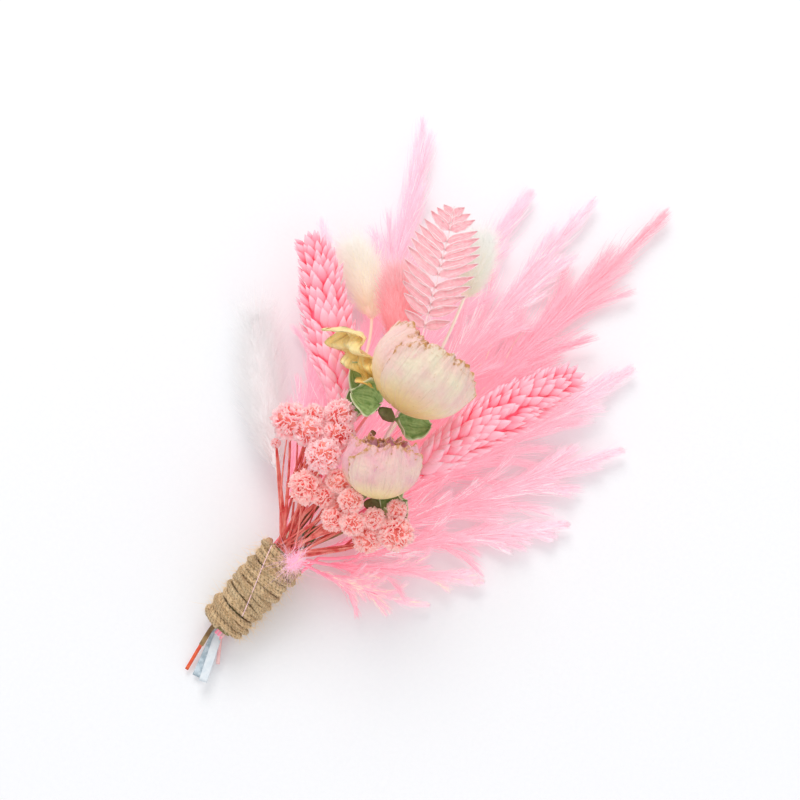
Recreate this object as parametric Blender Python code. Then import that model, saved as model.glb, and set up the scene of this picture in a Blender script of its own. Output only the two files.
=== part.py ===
"""Dried-flower boutonniere, lying on its back: two dried roses, dyed grass heads, a pressed fern and
small filler sprays, bound round the stems with floral tape and jute twine.

Shapes are worked out in millimetres round the tie point, which is the middle of the wrap's upper end
seen from above. +Y runs from the tie towards the flower tips, +X to the right of that, +Z up.
"""

import math

import bmesh
import bpy
import numpy as np
from mathutils import Vector

MM = 0.001

# The tie point in the part's own frame, whose origin is the middle of the whole piece's footprint.
TIE_POINT = (5.5, -49.2, 0.0)

# Wrapped handle: the bundle of stems, the tape sleeve and the twine.
WRAP_TOP = (0.0, 0.0, 9.0)
WRAP_BOTTOM = (0.0, -25.1, 4.85)
BUNDLE_NARROWING = 0.24  # share of its width that the bundle loses on the way down
SLOT_PITCH = 1.15
ROW_PITCH = 1.0
STEM_RADIUS = 0.42
ROSE_STEM_RADIUS = 0.75
TAPE_INNER_RADIUS = 3.75
TAPE_THICKNESS = 0.3
TWINE_RADIUS = 0.87
TWINE_CLEARANCE = 0.25
TWINE_TURNS = 12
TWINE_SIDES = 6
TWINE_STEPS_PER_TURN = 11
KNEE_DEPTH = 5.0  # a stem leaves the bundle in the direction that it has from this depth on
CUT_DEPTH = 23.5
STALK_SIDES = 8
STALK_STATIONS = 5  # rings to each span of a route

# Thin leafy pieces and the branches of the fillers.
BLADE_HALF_HEIGHT = 0.25
SEPAL_HALF_WIDTH = 2.0
FROND_THICKNESS = 0.4
FROND_HALF_WIDTH = 8.5
LEAFLET_PAIRS = 11
BRANCH_RADIUS = 0.32
BRANCH_SAG = 0.12

# Rose cups: a bowl of lapped petals round a closed heart.
PETAL_THICKNESS = 0.35
PETAL_LAP = 0.8
PETAL_SPREAD = math.radians(150)
PETAL_STEP = math.radians(120)
PETAL_FOOT_TILT = math.radians(10)
PETAL_CORNER_DROP = math.radians(14)
PETAL_GRID = (7, 6)
WHORL_GAP = 1.75
HEART_INSET = 0.8
HIP_GAP = 0.55

PINK = (0.87, 0.38, 0.47)
PALE_PINK = (0.95, 0.62, 0.70)
CORAL = (0.85, 0.30, 0.30)
CREAM = (0.90, 0.80, 0.56)
BLUSH = (0.88, 0.62, 0.58)
WHITE = (0.93, 0.90, 0.87)
LEAF_GREEN = (0.16, 0.26, 0.08)
STRAW = (0.80, 0.66, 0.36)
JUTE = (0.48, 0.32, 0.17)

# Each plume: name, slot in the bundle in pitches and rows, bend of its stem, and its head's base,
# middle and tip, with the head's half-width. They fan out in the lowest layer, where the bunch rests.
PLUMES = (
    ("plume_far_left", (-2, -2), (-18, 22, 4.5), ((-30, 42, 3), (-44, 60, 2.7), (-57, 71, 3)), 3.6),
    ("plume_top", (-1, -2), (-12, 30, 4), ((-24, 56, 2.8), (-40, 86, 2.6), (-57, 111, 3)), 6.5),
    ("plume_upper_left", (-0.5, -3), (-6, 30, 3.5), ((-12, 62, 2.8), (-17, 88, 2.6), (-21, 115, 3)), 4.6),
    ("plume_upper_middle", (0, -2), (-1.5, 30, 3.5), ((-3, 62, 2.8), (-5, 92, 2.6), (-7, 125, 3)), 4.8),
    ("plume_upper_right", (0.5, -3), (3.5, 30, 3.5), ((6, 60, 2.8), (8, 96, 2.6), (9.2, 136, 3)), 6.5),
    ("plume_right_high", (1, -2), (9, 26, 3.5), ((16, 48, 2.8), (24, 72, 2.6), (31, 96, 3)), 6.0),
    ("plume_right_middle", (2, -2), (12, 19, 3.5), ((22, 38, 2.8), (32, 58, 2.6), (43.5, 78, 3)), 5.7),
    ("plume_right_low", (2.5, -1), (13, 12, 4), ((22, 25, 2.8), (33, 39, 2.6), (46, 54, 3)), 4.9),
    ("plume_low_right", (2, 0), (10, 5.5, 6), ((17, 11.5, 3.6), (28, 20, 3), (40, 28.5, 3)), 3.4),
    ("plume_low", (2.5, 1), (8, 1.5, 7.5), ((15, 4.4, 5), (24.6, 8.8, 3.6), (34, 15, 3)), 2.5),
)
PLUME_HALF_HEIGHT = 2.5

# Cut ends that show below the wrap: where each one stops, and its half-width and half-height there.
CUT_ENDS = {
    "plume_far_left": ((0.7, -37.6, 1.2), 0.4, 0.4),
    "plume_upper_middle": ((3.7, -37.1, 1.2), 1.1, 0.3),
    "plume_right_high": ((6.1, -36.9, 3.4), 1.1, 0.3),
    "plume_right_middle": ((5.6, -31.4, 2.0), 0.5, 0.3),
    "rose_upper_stem": ((-0.3, -30.9, 4.6), 0.6, 0.4),
}

ROSE_UPPER = {
    "base": (-3.4, 44.5, 27.0),
    "axis": (-0.03, 0.92, 0.36),
    "radius": 10.2,
    "height": 11.5,
    "rim_tilt": math.radians(118),
    "hip_radius": 2.6,
    "hip_length": 3.6,
    "turn": math.radians(35),
}
ROSE_LOWER = {
    "base": (6.8, 25.0, 25.4),
    "axis": (-0.43, 0.72, 0.55),
    "radius": 6.7,
    "height": 8.0,
    "rim_tilt": math.radians(122),
    "hip_radius": 2.2,
    "hip_length": 3.4,
    "turn": math.radians(80),
}

# Sepals and a petal that has curled back, as routes from the rose's hip outwards.
UPPER_SEPALS = (
    ((-7.4, 41.8, 23.4), (-12.5, 42.4, 22.8), (-18.6, 42.6, 23.4)),
    ((-6.6, 40.2, 25.4), (-9.4, 38.6, 26.4), (-12.0, 37.4, 26.0)),
    ((-6.6, 39.6, 21.8), (-10.5, 38.4, 20.6), (-14.9, 38.8, 21.6)),
    ((-1.4, 40.2, 23.0), (1.8, 42.8, 20.0), (5.6, 46.2, 18.2)),
)
LOWER_SEPALS = (
    ((10.8, 22.0, 20.6), (13.4, 25.0, 19.6), (14.6, 28.6, 20.4)),
    ((6.6, 20.4, 21.2), (3.0, 22.6, 19.0), (-0.2, 26.2, 18.2)),
    ((9.0, 22.4, 19.4), (8.8, 26.4, 17.6), (8.2, 30.8, 16.6)),
)
CURLED_PETAL = ((-8.6, 42.0, 24.8), (-14.6, 44.2, 25.6), (-20.0, 47.4, 27.0), (-25.0, 49.6, 26.4))

# Florets of each filler spray: x, y, z, radius, and how far along the stem its branch forks.
SPRAY_LEFT = (
    (-19.4, 22.4, 24.0, 3.8, 0.9),
    (-14.4, 23.5, 25.0, 3.2, 0.9),
    (-16.0, 26.8, 23.0, 3.0, 0.9),
    (-11.5, 31.8, 24.2, 3.2, 1.0),
    (-8.8, 28.4, 23.4, 3.4, 1.0),
    (-6.9, 21.2, 27.6, 3.6, 0.8),
    (-19.1, 16.6, 20.0, 1.1, 0.5),
)
SPRAY_MIDDLE = (
    (-5.4, 13.4, 23.0, 3.4, 0.7),
    (-1.1, 14.8, 22.2, 2.5, 0.9),
    (-0.4, 19.6, 24.6, 2.7, 1.0),
)
SPRAY_INNER = (
    (5.2, 17.9, 26.2, 2.6, 1.0),
    (4.4, 12.6, 21.2, 2.6, 0.7),
    (2.1, 16.4, 20.0, 1.6, 0.8),
    (9.0, 14.6, 24.2, 2.6, 0.9),
)
SPRAY_RIGHT = (
    (13.6, 14.6, 20.2, 2.9, 0.7),
    (12.0, 18.8, 24.6, 2.2, 0.9),
    (17.8, 20.1, 22.2, 3.7, 1.0),
    (14.4, 24.2, 23.0, 2.2, 1.0),
)

ACROSS = np.array((1.0, 0.0, 0.0))
UP = np.array((0.0, 0.0, 1.0))


def unit(vectors):
    return vectors / np.linalg.norm(vectors, axis=-1, keepdims=True)


# ---------------------------------------------------------------- scene objects


def clear_scene():
    for obj in list(bpy.data.objects):
        bpy.data.objects.remove(obj)


def finish(name, colour, roughness=0.8):
    """A plain dry surface, made once for each name."""
    material = bpy.data.materials.get(name)
    if material is None:
        material = bpy.data.materials.new(name)
        material.use_nodes = True
        shader = material.node_tree.nodes["Principled BSDF"]
        shader.inputs["Base Color"].default_value = (*colour, 1.0)
        shader.inputs["Roughness"].default_value = roughness
        shader.inputs["Metallic"].default_value = 0.0
    return material


def add_empty(name, location, parent=None, axis=None):
    """An empty at a place in millimetres, its +Z turned along axis."""
    empty = bpy.data.objects.new(name, None)
    bpy.context.scene.collection.objects.link(empty)
    empty.parent = parent
    empty.location = [MM * value for value in location]
    if axis is not None:
        empty.rotation_mode = "QUATERNION"
        empty.rotation_quaternion = Vector(axis).to_track_quat("Z", "Y")
    return empty


def add_object(name, mesh, material, parent):
    mesh.shade_smooth()
    mesh.materials.append(material)
    obj = bpy.data.objects.new(name, mesh)
    bpy.context.scene.collection.objects.link(obj)
    obj.parent = parent
    return obj


def add_mesh(name, points, faces, material, parent):
    """An object whose points are in millimetres of its parent's space."""
    mesh = bpy.data.meshes.new(name)
    mesh.from_pydata((np.asarray(points) * MM).tolist(), [], faces)
    return add_object(name, mesh, material, parent)


def add_shape(name, shape, material, parent):
    """An object from a bmesh in metres of its parent's space, which is freed."""
    mesh = bpy.data.meshes.new(name)
    shape.to_mesh(mesh)
    shape.free()
    return add_object(name, mesh, material, parent)


def thicken(obj, thickness):
    """Gives a sheet a wall, half of it on each side."""
    wall = obj.modifiers.new("wall", "SOLIDIFY")
    wall.thickness = thickness * MM
    wall.offset = 0.0


# ---------------------------------------------------------------- curves and lofts


def smooth_path(points, per_span):
    """Catmull-Rom curve through the points, with per_span stations to each span."""
    points = np.asarray(points, float)
    padded = np.vstack((2 * points[0] - points[1], points, 2 * points[-1] - points[-2]))
    stations = []
    for before, start, end, after in zip(padded, padded[1:], padded[2:], padded[3:]):
        for t in np.arange(per_span) / per_span:
            stations.append(
                0.5
                * (
                    2 * start
                    + (end - before) * t
                    + (2 * before - 5 * start + 4 * end - after) * t**2
                    + (3 * start - before - 3 * end + after) * t**3
                )
            )
    stations.append(points[-1])
    return np.array(stations)


def spindle(t, fullest, blunt):
    """Swelling from 0 at t=0 to 1 at t=fullest and back to 0 at t=1; a lower blunt is rounder."""
    rise, fall = fullest * blunt, (1 - fullest) * blunt
    peak = fullest**rise * (1 - fullest) ** fall
    return t**rise * (1 - t) ** fall / peak


def ring_faces(rings, sides, closed=False):
    """Faces between neighbouring rings, facing out where the rings turn clockwise seen along the path.

    A closed loop of rings joins the last to the first, and an open one is capped at both ends.
    """
    faces = []
    for ring in range(rings if closed else rings - 1):
        here, after = ring * sides, (ring + 1) % rings * sides
        for side in range(sides):
            following = (side + 1) % sides
            faces.append((here + side, after + side, after + following, here + following))
    if not closed:
        last = (rings - 1) * sides
        faces.append(tuple(range(sides)))
        faces.append(tuple(range(last + sides - 1, last - 1, -1)))
    return faces


def loft(name, centres, half_widths, half_heights, sides, material, parent):
    """Closed tube of elliptical rings, level across and upright along the path."""
    centres = np.asarray(centres)
    along = unit(np.gradient(centres, axis=0))
    across = unit(np.cross(along, UP))
    above = np.cross(across, along)
    turn = 2 * math.pi * np.arange(sides) / sides
    rings = (
        centres[:, None]
        + np.cos(turn)[None, :, None] * (half_widths[:, None] * across)[:, None]
        + np.sin(turn)[None, :, None] * (half_heights[:, None] * above)[:, None]
    )
    faces = ring_faces(len(centres), sides)
    return add_mesh(name, rings.reshape(-1, 3), faces, material, parent)


# ---------------------------------------------------------------- stems in the wrap


def wrap_frame():
    """The wrap's length, its direction down the handle, and the upright across it."""
    top, bottom = np.array(WRAP_TOP), np.array(WRAP_BOTTOM)
    length = np.linalg.norm(bottom - top)
    down = (bottom - top) / length
    return length, down, np.cross(ACROSS, -down)


WRAP_LENGTH, DOWN, UPRIGHT = wrap_frame()


def narrowing(depth):
    """How much the bundle has drawn together at this depth below the wrap's upper end."""
    return 1 - BUNDLE_NARROWING * depth / WRAP_LENGTH


def in_bundle(slot, depth):
    """Place of a stem in the bundle. A slot is its sideways offset and its row."""
    offset = slot[0] * SLOT_PITCH * ACROSS + slot[1] * ROW_PITCH * UPRIGHT
    return np.array(WRAP_TOP) + depth * DOWN + narrowing(depth) * offset


def stalk(name, slot, route, material, parent, head=None, end=None, radius=STEM_RADIUS):
    """One grown piece: a stem from the bundle along route, with a swelling head at its end.

    head is (route of the head, half-width, half-height, fullest, blunt). end is the (place, half-width,
    half-height) of a cut end that shows below the wrap; without one the stem stops inside the wrap.
    """
    if end is None:
        sizes = [(radius * narrowing(CUT_DEPTH),) * 2]
        lower = [in_bundle(slot, CUT_DEPTH)]
    else:
        place, *end_size = end
        leaves = in_bundle(slot, WRAP_LENGTH + 1.5)
        lower = [np.array(place), (2 * leaves + place) / 3, leaves]
        sizes = [end_size, end_size, (radius * narrowing(WRAP_LENGTH),) * 2]
    head_route = head[0] if head else ()
    course = [in_bundle(slot, KNEE_DEPTH), in_bundle(slot, 0.0), *route, *head_route]
    path = smooth_path(course, STALK_STATIONS)[STALK_STATIONS:]
    bare = STALK_STATIONS * (len(route) + 1) if head else len(path) - 1
    stem = path[: bare + 1 : 2]
    sizes += [(radius, radius)] * len(stem)
    centres = [*lower, *stem]
    if head:
        centres += list(path[bare + 1 :])
        swelling = spindle(np.linspace(0.0, 1.0, len(path) - bare)[1:], *head[3:])
        tip = 0.4 * radius
        sizes += [(max(tip, head[1] * share), max(tip, head[2] * share)) for share in swelling]
    half_widths, half_heights = np.array(sizes).T
    return loft(name, centres, half_widths, half_heights, STALK_SIDES, material, parent)


# ---------------------------------------------------------------- roses


def cup_point(radius, height, tilt, turn):
    """Point on an egg-shaped cup that stands on the origin; tilt runs from its pole to its rim."""
    return np.stack(
        (
            radius * np.sin(tilt) * np.cos(turn),
            radius * np.sin(tilt) * np.sin(turn),
            height * (1 - np.cos(tilt)) + 0 * turn,
        ),
        axis=-1,
    )


def rose_petal(name, rose, start_turn, layer, material, parent):
    """Part of the cup, standing off further along its width so that it laps over the next petal."""
    columns, rows = PETAL_GRID
    width, reach = np.meshgrid(np.linspace(0, 1, columns), np.linspace(0, 1, rows))
    offset = layer + PETAL_LAP * width * PETAL_SPREAD / PETAL_STEP
    rim = rose["rim_tilt"] - PETAL_CORNER_DROP * (2 * width - 1) ** 2
    tilt = PETAL_FOOT_TILT + (rim - PETAL_FOOT_TILT) * reach
    points = cup_point(rose["radius"] + offset, rose["height"] + offset, tilt, PETAL_SPREAD * width)
    points[..., 2] -= offset
    index = np.arange(rows * columns).reshape(rows, columns)
    faces = np.stack((index[:-1, :-1], index[:-1, 1:], index[1:, 1:], index[1:, :-1]), axis=-1)
    petal = add_mesh(name, points.reshape(-1, 3), faces.reshape(-1, 4).tolist(), material, parent)
    petal.rotation_euler.z = start_turn
    thicken(petal, PETAL_THICKNESS)


def turned(name, profile, sides, material, parent):
    """Solid turned round Z from (radius, height) points that run from its lower to its upper pole."""
    rings = profile[1:-1]
    turn = 2 * math.pi * np.arange(sides) / sides
    points = [(0.0, 0.0, profile[0][1])]
    for radius, height in rings:
        points += [(radius * math.cos(a), radius * math.sin(a), height) for a in turn]
    points.append((0.0, 0.0, profile[-1][1]))
    faces = []
    for side in range(sides):
        following = (side + 1) % sides
        faces.append((0, 1 + following, 1 + side))
        for ring in range(len(rings) - 1):
            low, high = 1 + ring * sides, 1 + (ring + 1) * sides
            faces.append((low + side, low + following, high + following, high + side))
        top = 1 + (len(rings) - 1) * sides
        faces.append((top + side, top + following, len(points) - 1))
    return add_mesh(name, points, faces, material, parent)


def rose_heart(name, rose, material, parent):
    """The closed heart of rolled petals, with a dimple at its tip."""
    radius, height = rose["radius"] - HEART_INSET, rose["height"] - HEART_INSET
    tilts = np.radians((0, 18, 38, 58, 78, 96, 112))
    profile = [(radius * math.sin(a), HEART_INSET + height * (1 - math.cos(a))) for a in tilts]
    crown = profile[-1]
    profile.append((crown[0] * 0.55, crown[1] + 0.2))
    profile.append((0.0, crown[1] - 2.0))
    return turned(name, profile, 16, material, parent)


def rose_hip(name, rose, material, parent):
    """The swelling under the petals, from the stem's end to just below the cup."""
    top = -(WHORL_GAP + PETAL_LAP + PETAL_THICKNESS + HIP_GAP)
    radius, length = rose["hip_radius"], rose["hip_length"]
    steps = np.linspace(0.0, 1.0, 7)
    profile = [(radius * math.sin(math.pi * t**0.85), top - length * (1 - t)) for t in steps]
    profile[-1] = (0.0, top)
    return turned(name, profile, 12, material, parent)


def add_rose(name, rose, origin):
    axis = add_empty(f"{name}_axis", rose["base"], origin, rose["axis"])
    heart = finish("rose_heart", BLUSH)
    rose_heart(f"{name}_heart", rose, heart, axis)
    for petal in range(6):
        whorl, place = divmod(petal, 3)
        turn = place * PETAL_STEP + whorl * PETAL_STEP / 2 + rose["turn"]
        material = finish("rose_petal", CREAM)
        rose_petal(f"{name}_petal_{petal + 1}", rose, turn, whorl * WHORL_GAP, material, axis)
    rose_hip(f"{name}_hip", rose, finish("rose_hip", LEAF_GREEN), axis)


# ---------------------------------------------------------------- blades, fern and sprays


def blade(name, route, half_width, fullest, blunt, material, parent):
    """A thin leaf-like piece with a pointed tip, along a curved route."""
    centres = smooth_path(route, 4)
    swelling = spindle(np.linspace(0.0, 1.0, len(centres) + 1)[1:], fullest, blunt)
    swelling = np.maximum(swelling, 0.12)
    half_heights = BLADE_HALF_HEIGHT * np.ones(len(centres))
    loft(name, centres, half_width * swelling, half_heights, STALK_SIDES, material, parent)


def leaflet_outline(start, end):
    """One side of the frond, as (distance along the rib, distance from it), from start to its tip."""
    step = (end - start) / (LEAFLET_PAIRS + 1)
    side = []
    for pair in range(LEAFLET_PAIRS):
        foot = start + pair * step
        reach = FROND_HALF_WIDTH * spindle((pair + 0.5) / LEAFLET_PAIRS, 0.45, 0.7)
        side.append((foot, FROND_THICKNESS))
        side.append((foot + 0.75 * step + 0.25 * reach, reach))
        side.append((foot + 0.72 * step, FROND_THICKNESS))
    return [*side, (end, 0.4 * FROND_THICKNESS)]


def fern(name, slot, route, frond_route, material, parent):
    """A pressed frond: flat stem and rib with pointed leaflets on both sides.

    Its outline is laid out flat, then carried along the rib's path and given its thickness.
    """
    course = [in_bundle(slot, KNEE_DEPTH), in_bundle(slot, 0.0), *route, *frond_route]
    path = smooth_path(course, STALK_STATIONS)[STALK_STATIONS:]
    bare = STALK_STATIONS * (len(route) + 1) + 1
    centres = np.vstack(([in_bundle(slot, CUT_DEPTH)], path))
    gone = np.concatenate(([0.0], np.cumsum(np.linalg.norm(np.diff(centres, axis=0), axis=1))))
    side = [(distance, FROND_THICKNESS) for distance in gone[:bare]]
    side += leaflet_outline(gone[bare], gone[-1])
    flat = side + [(distance, -reach) for distance, reach in reversed(side)]
    shape = bmesh.new()
    corners = [shape.verts.new((distance, reach, 0.0)) for distance, reach in flat]
    bmesh.ops.triangulate(shape, faces=[shape.faces.new(corners)])
    across = unit(np.cross(unit(np.gradient(centres, axis=0)), UP))
    for corner in shape.verts:
        distance, reach = corner.co.x, corner.co.y
        middle = [np.interp(distance, gone, centres[:, axis]) for axis in range(3)]
        sideways = [np.interp(distance, gone, across[:, axis]) for axis in range(3)]
        corner.co = [MM * (m + reach * s) for m, s in zip(middle, sideways)]
    frond = add_shape(name, shape, material, parent)
    thicken(frond, FROND_THICKNESS)


def as_helper(obj, collection):
    """Moves a shape into the collection that a Boolean joins to a spray."""
    bpy.context.scene.collection.objects.unlink(obj)
    collection.objects.link(obj)
    obj.hide_render = True
    obj.display_type = "WIRE"


def floret(name, centre, radius, material, parent):
    """A round head of crowded petals, as a coarse ball."""
    shape = bmesh.new()
    bmesh.ops.create_icosphere(shape, subdivisions=2, radius=radius * MM)
    ball = add_shape(name, shape, material, parent)
    ball.location = [MM * value for value in centre]
    return ball


def spray(name, slot, route, heads, material, parent):
    """A branching stem with a floret on each branch, joined into one body."""
    stem = stalk(name, slot, route, material, parent)
    helpers = bpy.data.collections.new(f"{name}_branches")
    bpy.context.scene.collection.children.link(helpers)
    forks = smooth_path([in_bundle(slot, 0.0), *route], STALK_STATIONS)
    for number, (*centre, radius, fork) in enumerate(heads):
        root = forks[int(fork * (len(forks) - 1))]
        middle = (root + centre) / 2 - BRANCH_SAG * np.linalg.norm(centre - root) * UP
        path = smooth_path([root, middle, centre], 2)
        radii = BRANCH_RADIUS * np.ones(len(path))
        as_helper(loft(f"{name}_branch_{number}", path, radii, radii, 5, material, parent), helpers)
        as_helper(floret(f"{name}_floret_{number}", centre, radius, material, parent), helpers)
    join = stem.modifiers.new("branches", "BOOLEAN")
    join.operation = "UNION"
    join.operand_type = "COLLECTION"
    join.collection = helpers
    join.solver = "EXACT"


# ---------------------------------------------------------------- tape and twine


def around_wrap(depth, radius, turn):
    """Point at a distance from the handle's axis, turned from +X towards its upright."""
    sideways = math.cos(turn) * ACROSS + math.sin(turn) * UPRIGHT
    return np.array(WRAP_TOP) + depth * DOWN + radius * sideways


def floral_tape(name, material, parent):
    """Thin open sleeve round the stems."""
    sides = 18
    depths = np.linspace(0.4, WRAP_LENGTH - 0.4, 3)
    inner = [(depth, TAPE_INNER_RADIUS * narrowing(depth)) for depth in depths]
    outer = [(depth, radius + TAPE_THICKNESS) for depth, radius in reversed(inner)]
    loop = inner + outer
    turns = 2 * math.pi * np.arange(sides) / sides
    points = [around_wrap(depth, radius, turn) for depth, radius in loop for turn in turns]
    add_mesh(name, points, ring_faces(len(loop), sides, closed=True), material, parent)


def twine(name, material, parent):
    """One length of jute wound in a close helix down the handle."""
    steps = TWINE_TURNS * TWINE_STEPS_PER_TURN
    end_gap = TWINE_RADIUS + 0.1
    depths = np.linspace(end_gap, WRAP_LENGTH - end_gap, steps + 1)
    turns = 2 * math.pi * np.arange(steps + 1) / TWINE_STEPS_PER_TURN
    seats = TAPE_INNER_RADIUS * narrowing(depths) + TAPE_THICKNESS + TWINE_CLEARANCE
    outward = np.cos(turns)[:, None] * ACROSS + np.sin(turns)[:, None] * UPRIGHT
    centres = np.array(WRAP_TOP) + depths[:, None] * DOWN + (seats + TWINE_RADIUS)[:, None] * outward
    ring = 2 * math.pi * (np.arange(TWINE_SIDES) + 0.5) / TWINE_SIDES
    rings = centres[:, None] + TWINE_RADIUS * (
        np.cos(ring)[None, :, None] * outward[:, None] + np.sin(ring)[None, :, None] * DOWN
    )
    faces = ring_faces(len(centres), TWINE_SIDES)
    add_mesh(name, rings.reshape(-1, 3), faces, material, parent)


# ---------------------------------------------------------------- the bunch


def add_grass_heads(origin):
    """Scaly canary-grass heads and soft bunny tails, the middle layer."""
    pink = finish("canary_grass", PINK)
    left = ((-11, 33, 15.5), (-29.5, 47, 15.5), (-50, 60.5, 14))
    stalk("canary_grass_left", (-2.5, 1), ((-6.6, 16, 11.4),), pink, origin, (left, 7.6, 7.2, 0.5, 1.0))
    right = ((9.6, 32, 13.2), (13.5, 54, 13), (21.5, 80, 11))
    stalk("canary_grass_right", (1.5, -1), ((5.6, 15, 9.6),), pink, origin, (right, 7.0, 6.0, 0.5, 1.0))

    white = finish("bleached_tail", WHITE)
    head = ((-14, 11.5, 8.6), (-32, 24, 7.5), (-49, 38.5, 6.5))
    stalk("bunny_tail_white", (-2.5, -1), ((-7, 5, 8.4),), white, origin, (head, 5.2, 4.8, 0.5, 1.0))
    head = ((-25.5, 59, 8.5), (-34, 64, 9), (-43, 67.5, 9))
    cream = finish("cream_tail", CREAM)
    stalk("bunny_tail_cream", (-0.5, -1), ((-12, 28, 8.2),), cream, origin, (head, 4.6, 3.4, 0.5, 0.9))
    head = ((-13.5, 57, 15), (-22, 63.5, 15), (-30, 69, 15))
    tail = finish("dyed_tail", CORAL)
    stalk("bunny_tail_pink", (-2, 2), ((-7.5, 30, 13.2),), tail, origin, (head, 6.0, 5.4, 0.5, 0.9))
    head = ((-11, 77, 14.5), (-15, 84, 15.5), (-19, 91, 16))
    route = ((-0.1, 9, 9.9), (-0.6, 20, 9.8), (-3, 46, 10.5))
    stalk("bunny_tail_small", (-0.5, 1), route, white, origin, (head, 4.2, 4.2, 0.5, 0.9))


def add_fillers(origin):
    """Branching sprays of small double florets, and one green leaf low among them."""
    coral = finish("filler", CORAL)
    spray("filler_left", (-1, 2), ((-4.4, 4, 14), (-10.6, 12, 18)), SPRAY_LEFT, coral, origin)
    spray("filler_middle", (-0.5, 3), ((-1.4, 4.5, 15), (-2.4, 9.5, 18)), SPRAY_MIDDLE, coral, origin)
    spray("filler_inner", (0.5, 3), ((2.2, 4.5, 15.2), (4.2, 9, 18)), SPRAY_INNER, coral, origin)
    spray("filler_right", (2, 2), ((6, 4, 13), (11, 9.5, 16.6)), SPRAY_RIGHT, coral, origin)
    leaf = ((1.9, 4.5, 13.2), (2.1, 7, 14.4), (2.4, 9.8, 15))
    green = finish("leaf", LEAF_GREEN)
    stalk("green_leaf", (1.5, 1), ((1.8, 2.2, 11.6),), green, origin, (leaf, 1.5, 0.35, 0.5, 1.0))


def add_roses(origin):
    green = finish("rose_hip", LEAF_GREEN)
    for name, rose, slot, route in (
        ("rose_upper", ROSE_UPPER, (-1.5, 0), ((-2.2, 12, 12.2), (-2.9, 28, 17.6), (-3.3, 36.4, 22.2))),
        ("rose_lower", ROSE_LOWER, (0.5, 0), ((3.6, 6, 11.4), (7.2, 13, 14.8), (9.2, 18.6, 18.6))),
    ):
        add_rose(name, rose, origin)
        stem = f"{name}_stem"
        stalk(stem, slot, route, green, origin, end=CUT_ENDS.get(stem), radius=ROSE_STEM_RADIUS)
    for rose, sepals in (("rose_upper", UPPER_SEPALS), ("rose_lower", LOWER_SEPALS)):
        for number, route in enumerate(sepals, 1):
            blade(f"{rose}_sepal_{number}", route, SEPAL_HALF_WIDTH, 0.4, 0.8, green, origin)
    straw = finish("curled_petal", STRAW)
    blade("rose_upper_curled_petal", CURLED_PETAL, 4.4, 0.75, 1.6, straw, origin)


def build():
    clear_scene()
    origin = add_empty("tie_point", TIE_POINT)
    floral_tape("floral_tape", finish("floral_tape", LEAF_GREEN), origin)
    twine("twine", finish("jute", JUTE), origin)
    for name, slot, bend, head_route, half_width in PLUMES:
        head = (head_route, half_width, PLUME_HALF_HEIGHT, 0.4, 1.5)
        material = finish("dyed_plume", PALE_PINK)
        stalk(name, slot, (bend,), material, origin, head, end=CUT_ENDS.get(name))
    add_grass_heads(origin)
    route = ((0.2, 10, 12), (-0.2, 22, 12.6), (-1.6, 38, 13.4), (-6.5, 51, 15.5))
    frond = ((-11.5, 61, 21), (-16.5, 72, 23.5), (-23.5, 83, 24.5), (-29.5, 90, 25))
    fern("fern", (0, 2), route, frond, finish("pressed_fern", PINK), origin)
    add_roses(origin)
    add_fillers(origin)


build()
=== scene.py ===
"""Looks of a dried-flower boutonniere that lies on its back: silky dyed plumes, grass heads and tails, a
pressed fern, two dried roses, small filler florets, and a handle bound with jute twine.

Everything is in metres in the frame's own space: +Y towards the flower tips, +Z up. Each piece takes its
place from the frame's solid that it replaces.
"""

import math

import bpy
import numpy as np
from bpy.props import FloatProperty, FloatVectorProperty, IntProperty, PointerProperty
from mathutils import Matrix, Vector


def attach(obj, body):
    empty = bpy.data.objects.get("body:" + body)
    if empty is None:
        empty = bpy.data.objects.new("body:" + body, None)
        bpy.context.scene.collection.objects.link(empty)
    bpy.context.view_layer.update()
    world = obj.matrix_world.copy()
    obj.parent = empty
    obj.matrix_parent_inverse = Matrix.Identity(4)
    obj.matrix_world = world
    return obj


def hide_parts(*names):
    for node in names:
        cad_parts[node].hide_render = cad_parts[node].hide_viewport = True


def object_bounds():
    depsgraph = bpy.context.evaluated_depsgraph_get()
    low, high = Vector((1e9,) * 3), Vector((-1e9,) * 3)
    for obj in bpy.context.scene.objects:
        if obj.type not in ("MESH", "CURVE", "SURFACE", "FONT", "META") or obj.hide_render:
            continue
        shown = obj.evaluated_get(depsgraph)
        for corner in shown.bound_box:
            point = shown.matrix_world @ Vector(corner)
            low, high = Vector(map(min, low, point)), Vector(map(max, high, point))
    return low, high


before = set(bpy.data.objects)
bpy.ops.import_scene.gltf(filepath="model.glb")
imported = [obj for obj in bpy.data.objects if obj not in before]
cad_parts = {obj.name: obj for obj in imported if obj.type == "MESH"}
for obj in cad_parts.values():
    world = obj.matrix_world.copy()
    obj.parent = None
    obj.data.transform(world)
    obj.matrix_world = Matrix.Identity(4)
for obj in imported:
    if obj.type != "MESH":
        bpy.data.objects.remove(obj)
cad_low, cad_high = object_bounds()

bl_info = {
    "name": "Dried-flower boutonniere",
    "version": (1, 0, 0),
    "blender": (4, 5, 0),
    "location": "3D View > Sidebar > Boutonniere",
    "description": "Builds the petals, plumes, grasses and twine of a dried-flower boutonniere",
    "category": "Add Mesh",
}

MM = 0.001
UP = np.array((0.0, 0.0, 1.0))
FRONT_PETAL = (62, -14)  # half the front petal's spread, and how far it is turned aside, in degrees
TWIGS_PER_FLORET = 2


# ---------------------------------------------------------------- surfaces


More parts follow.
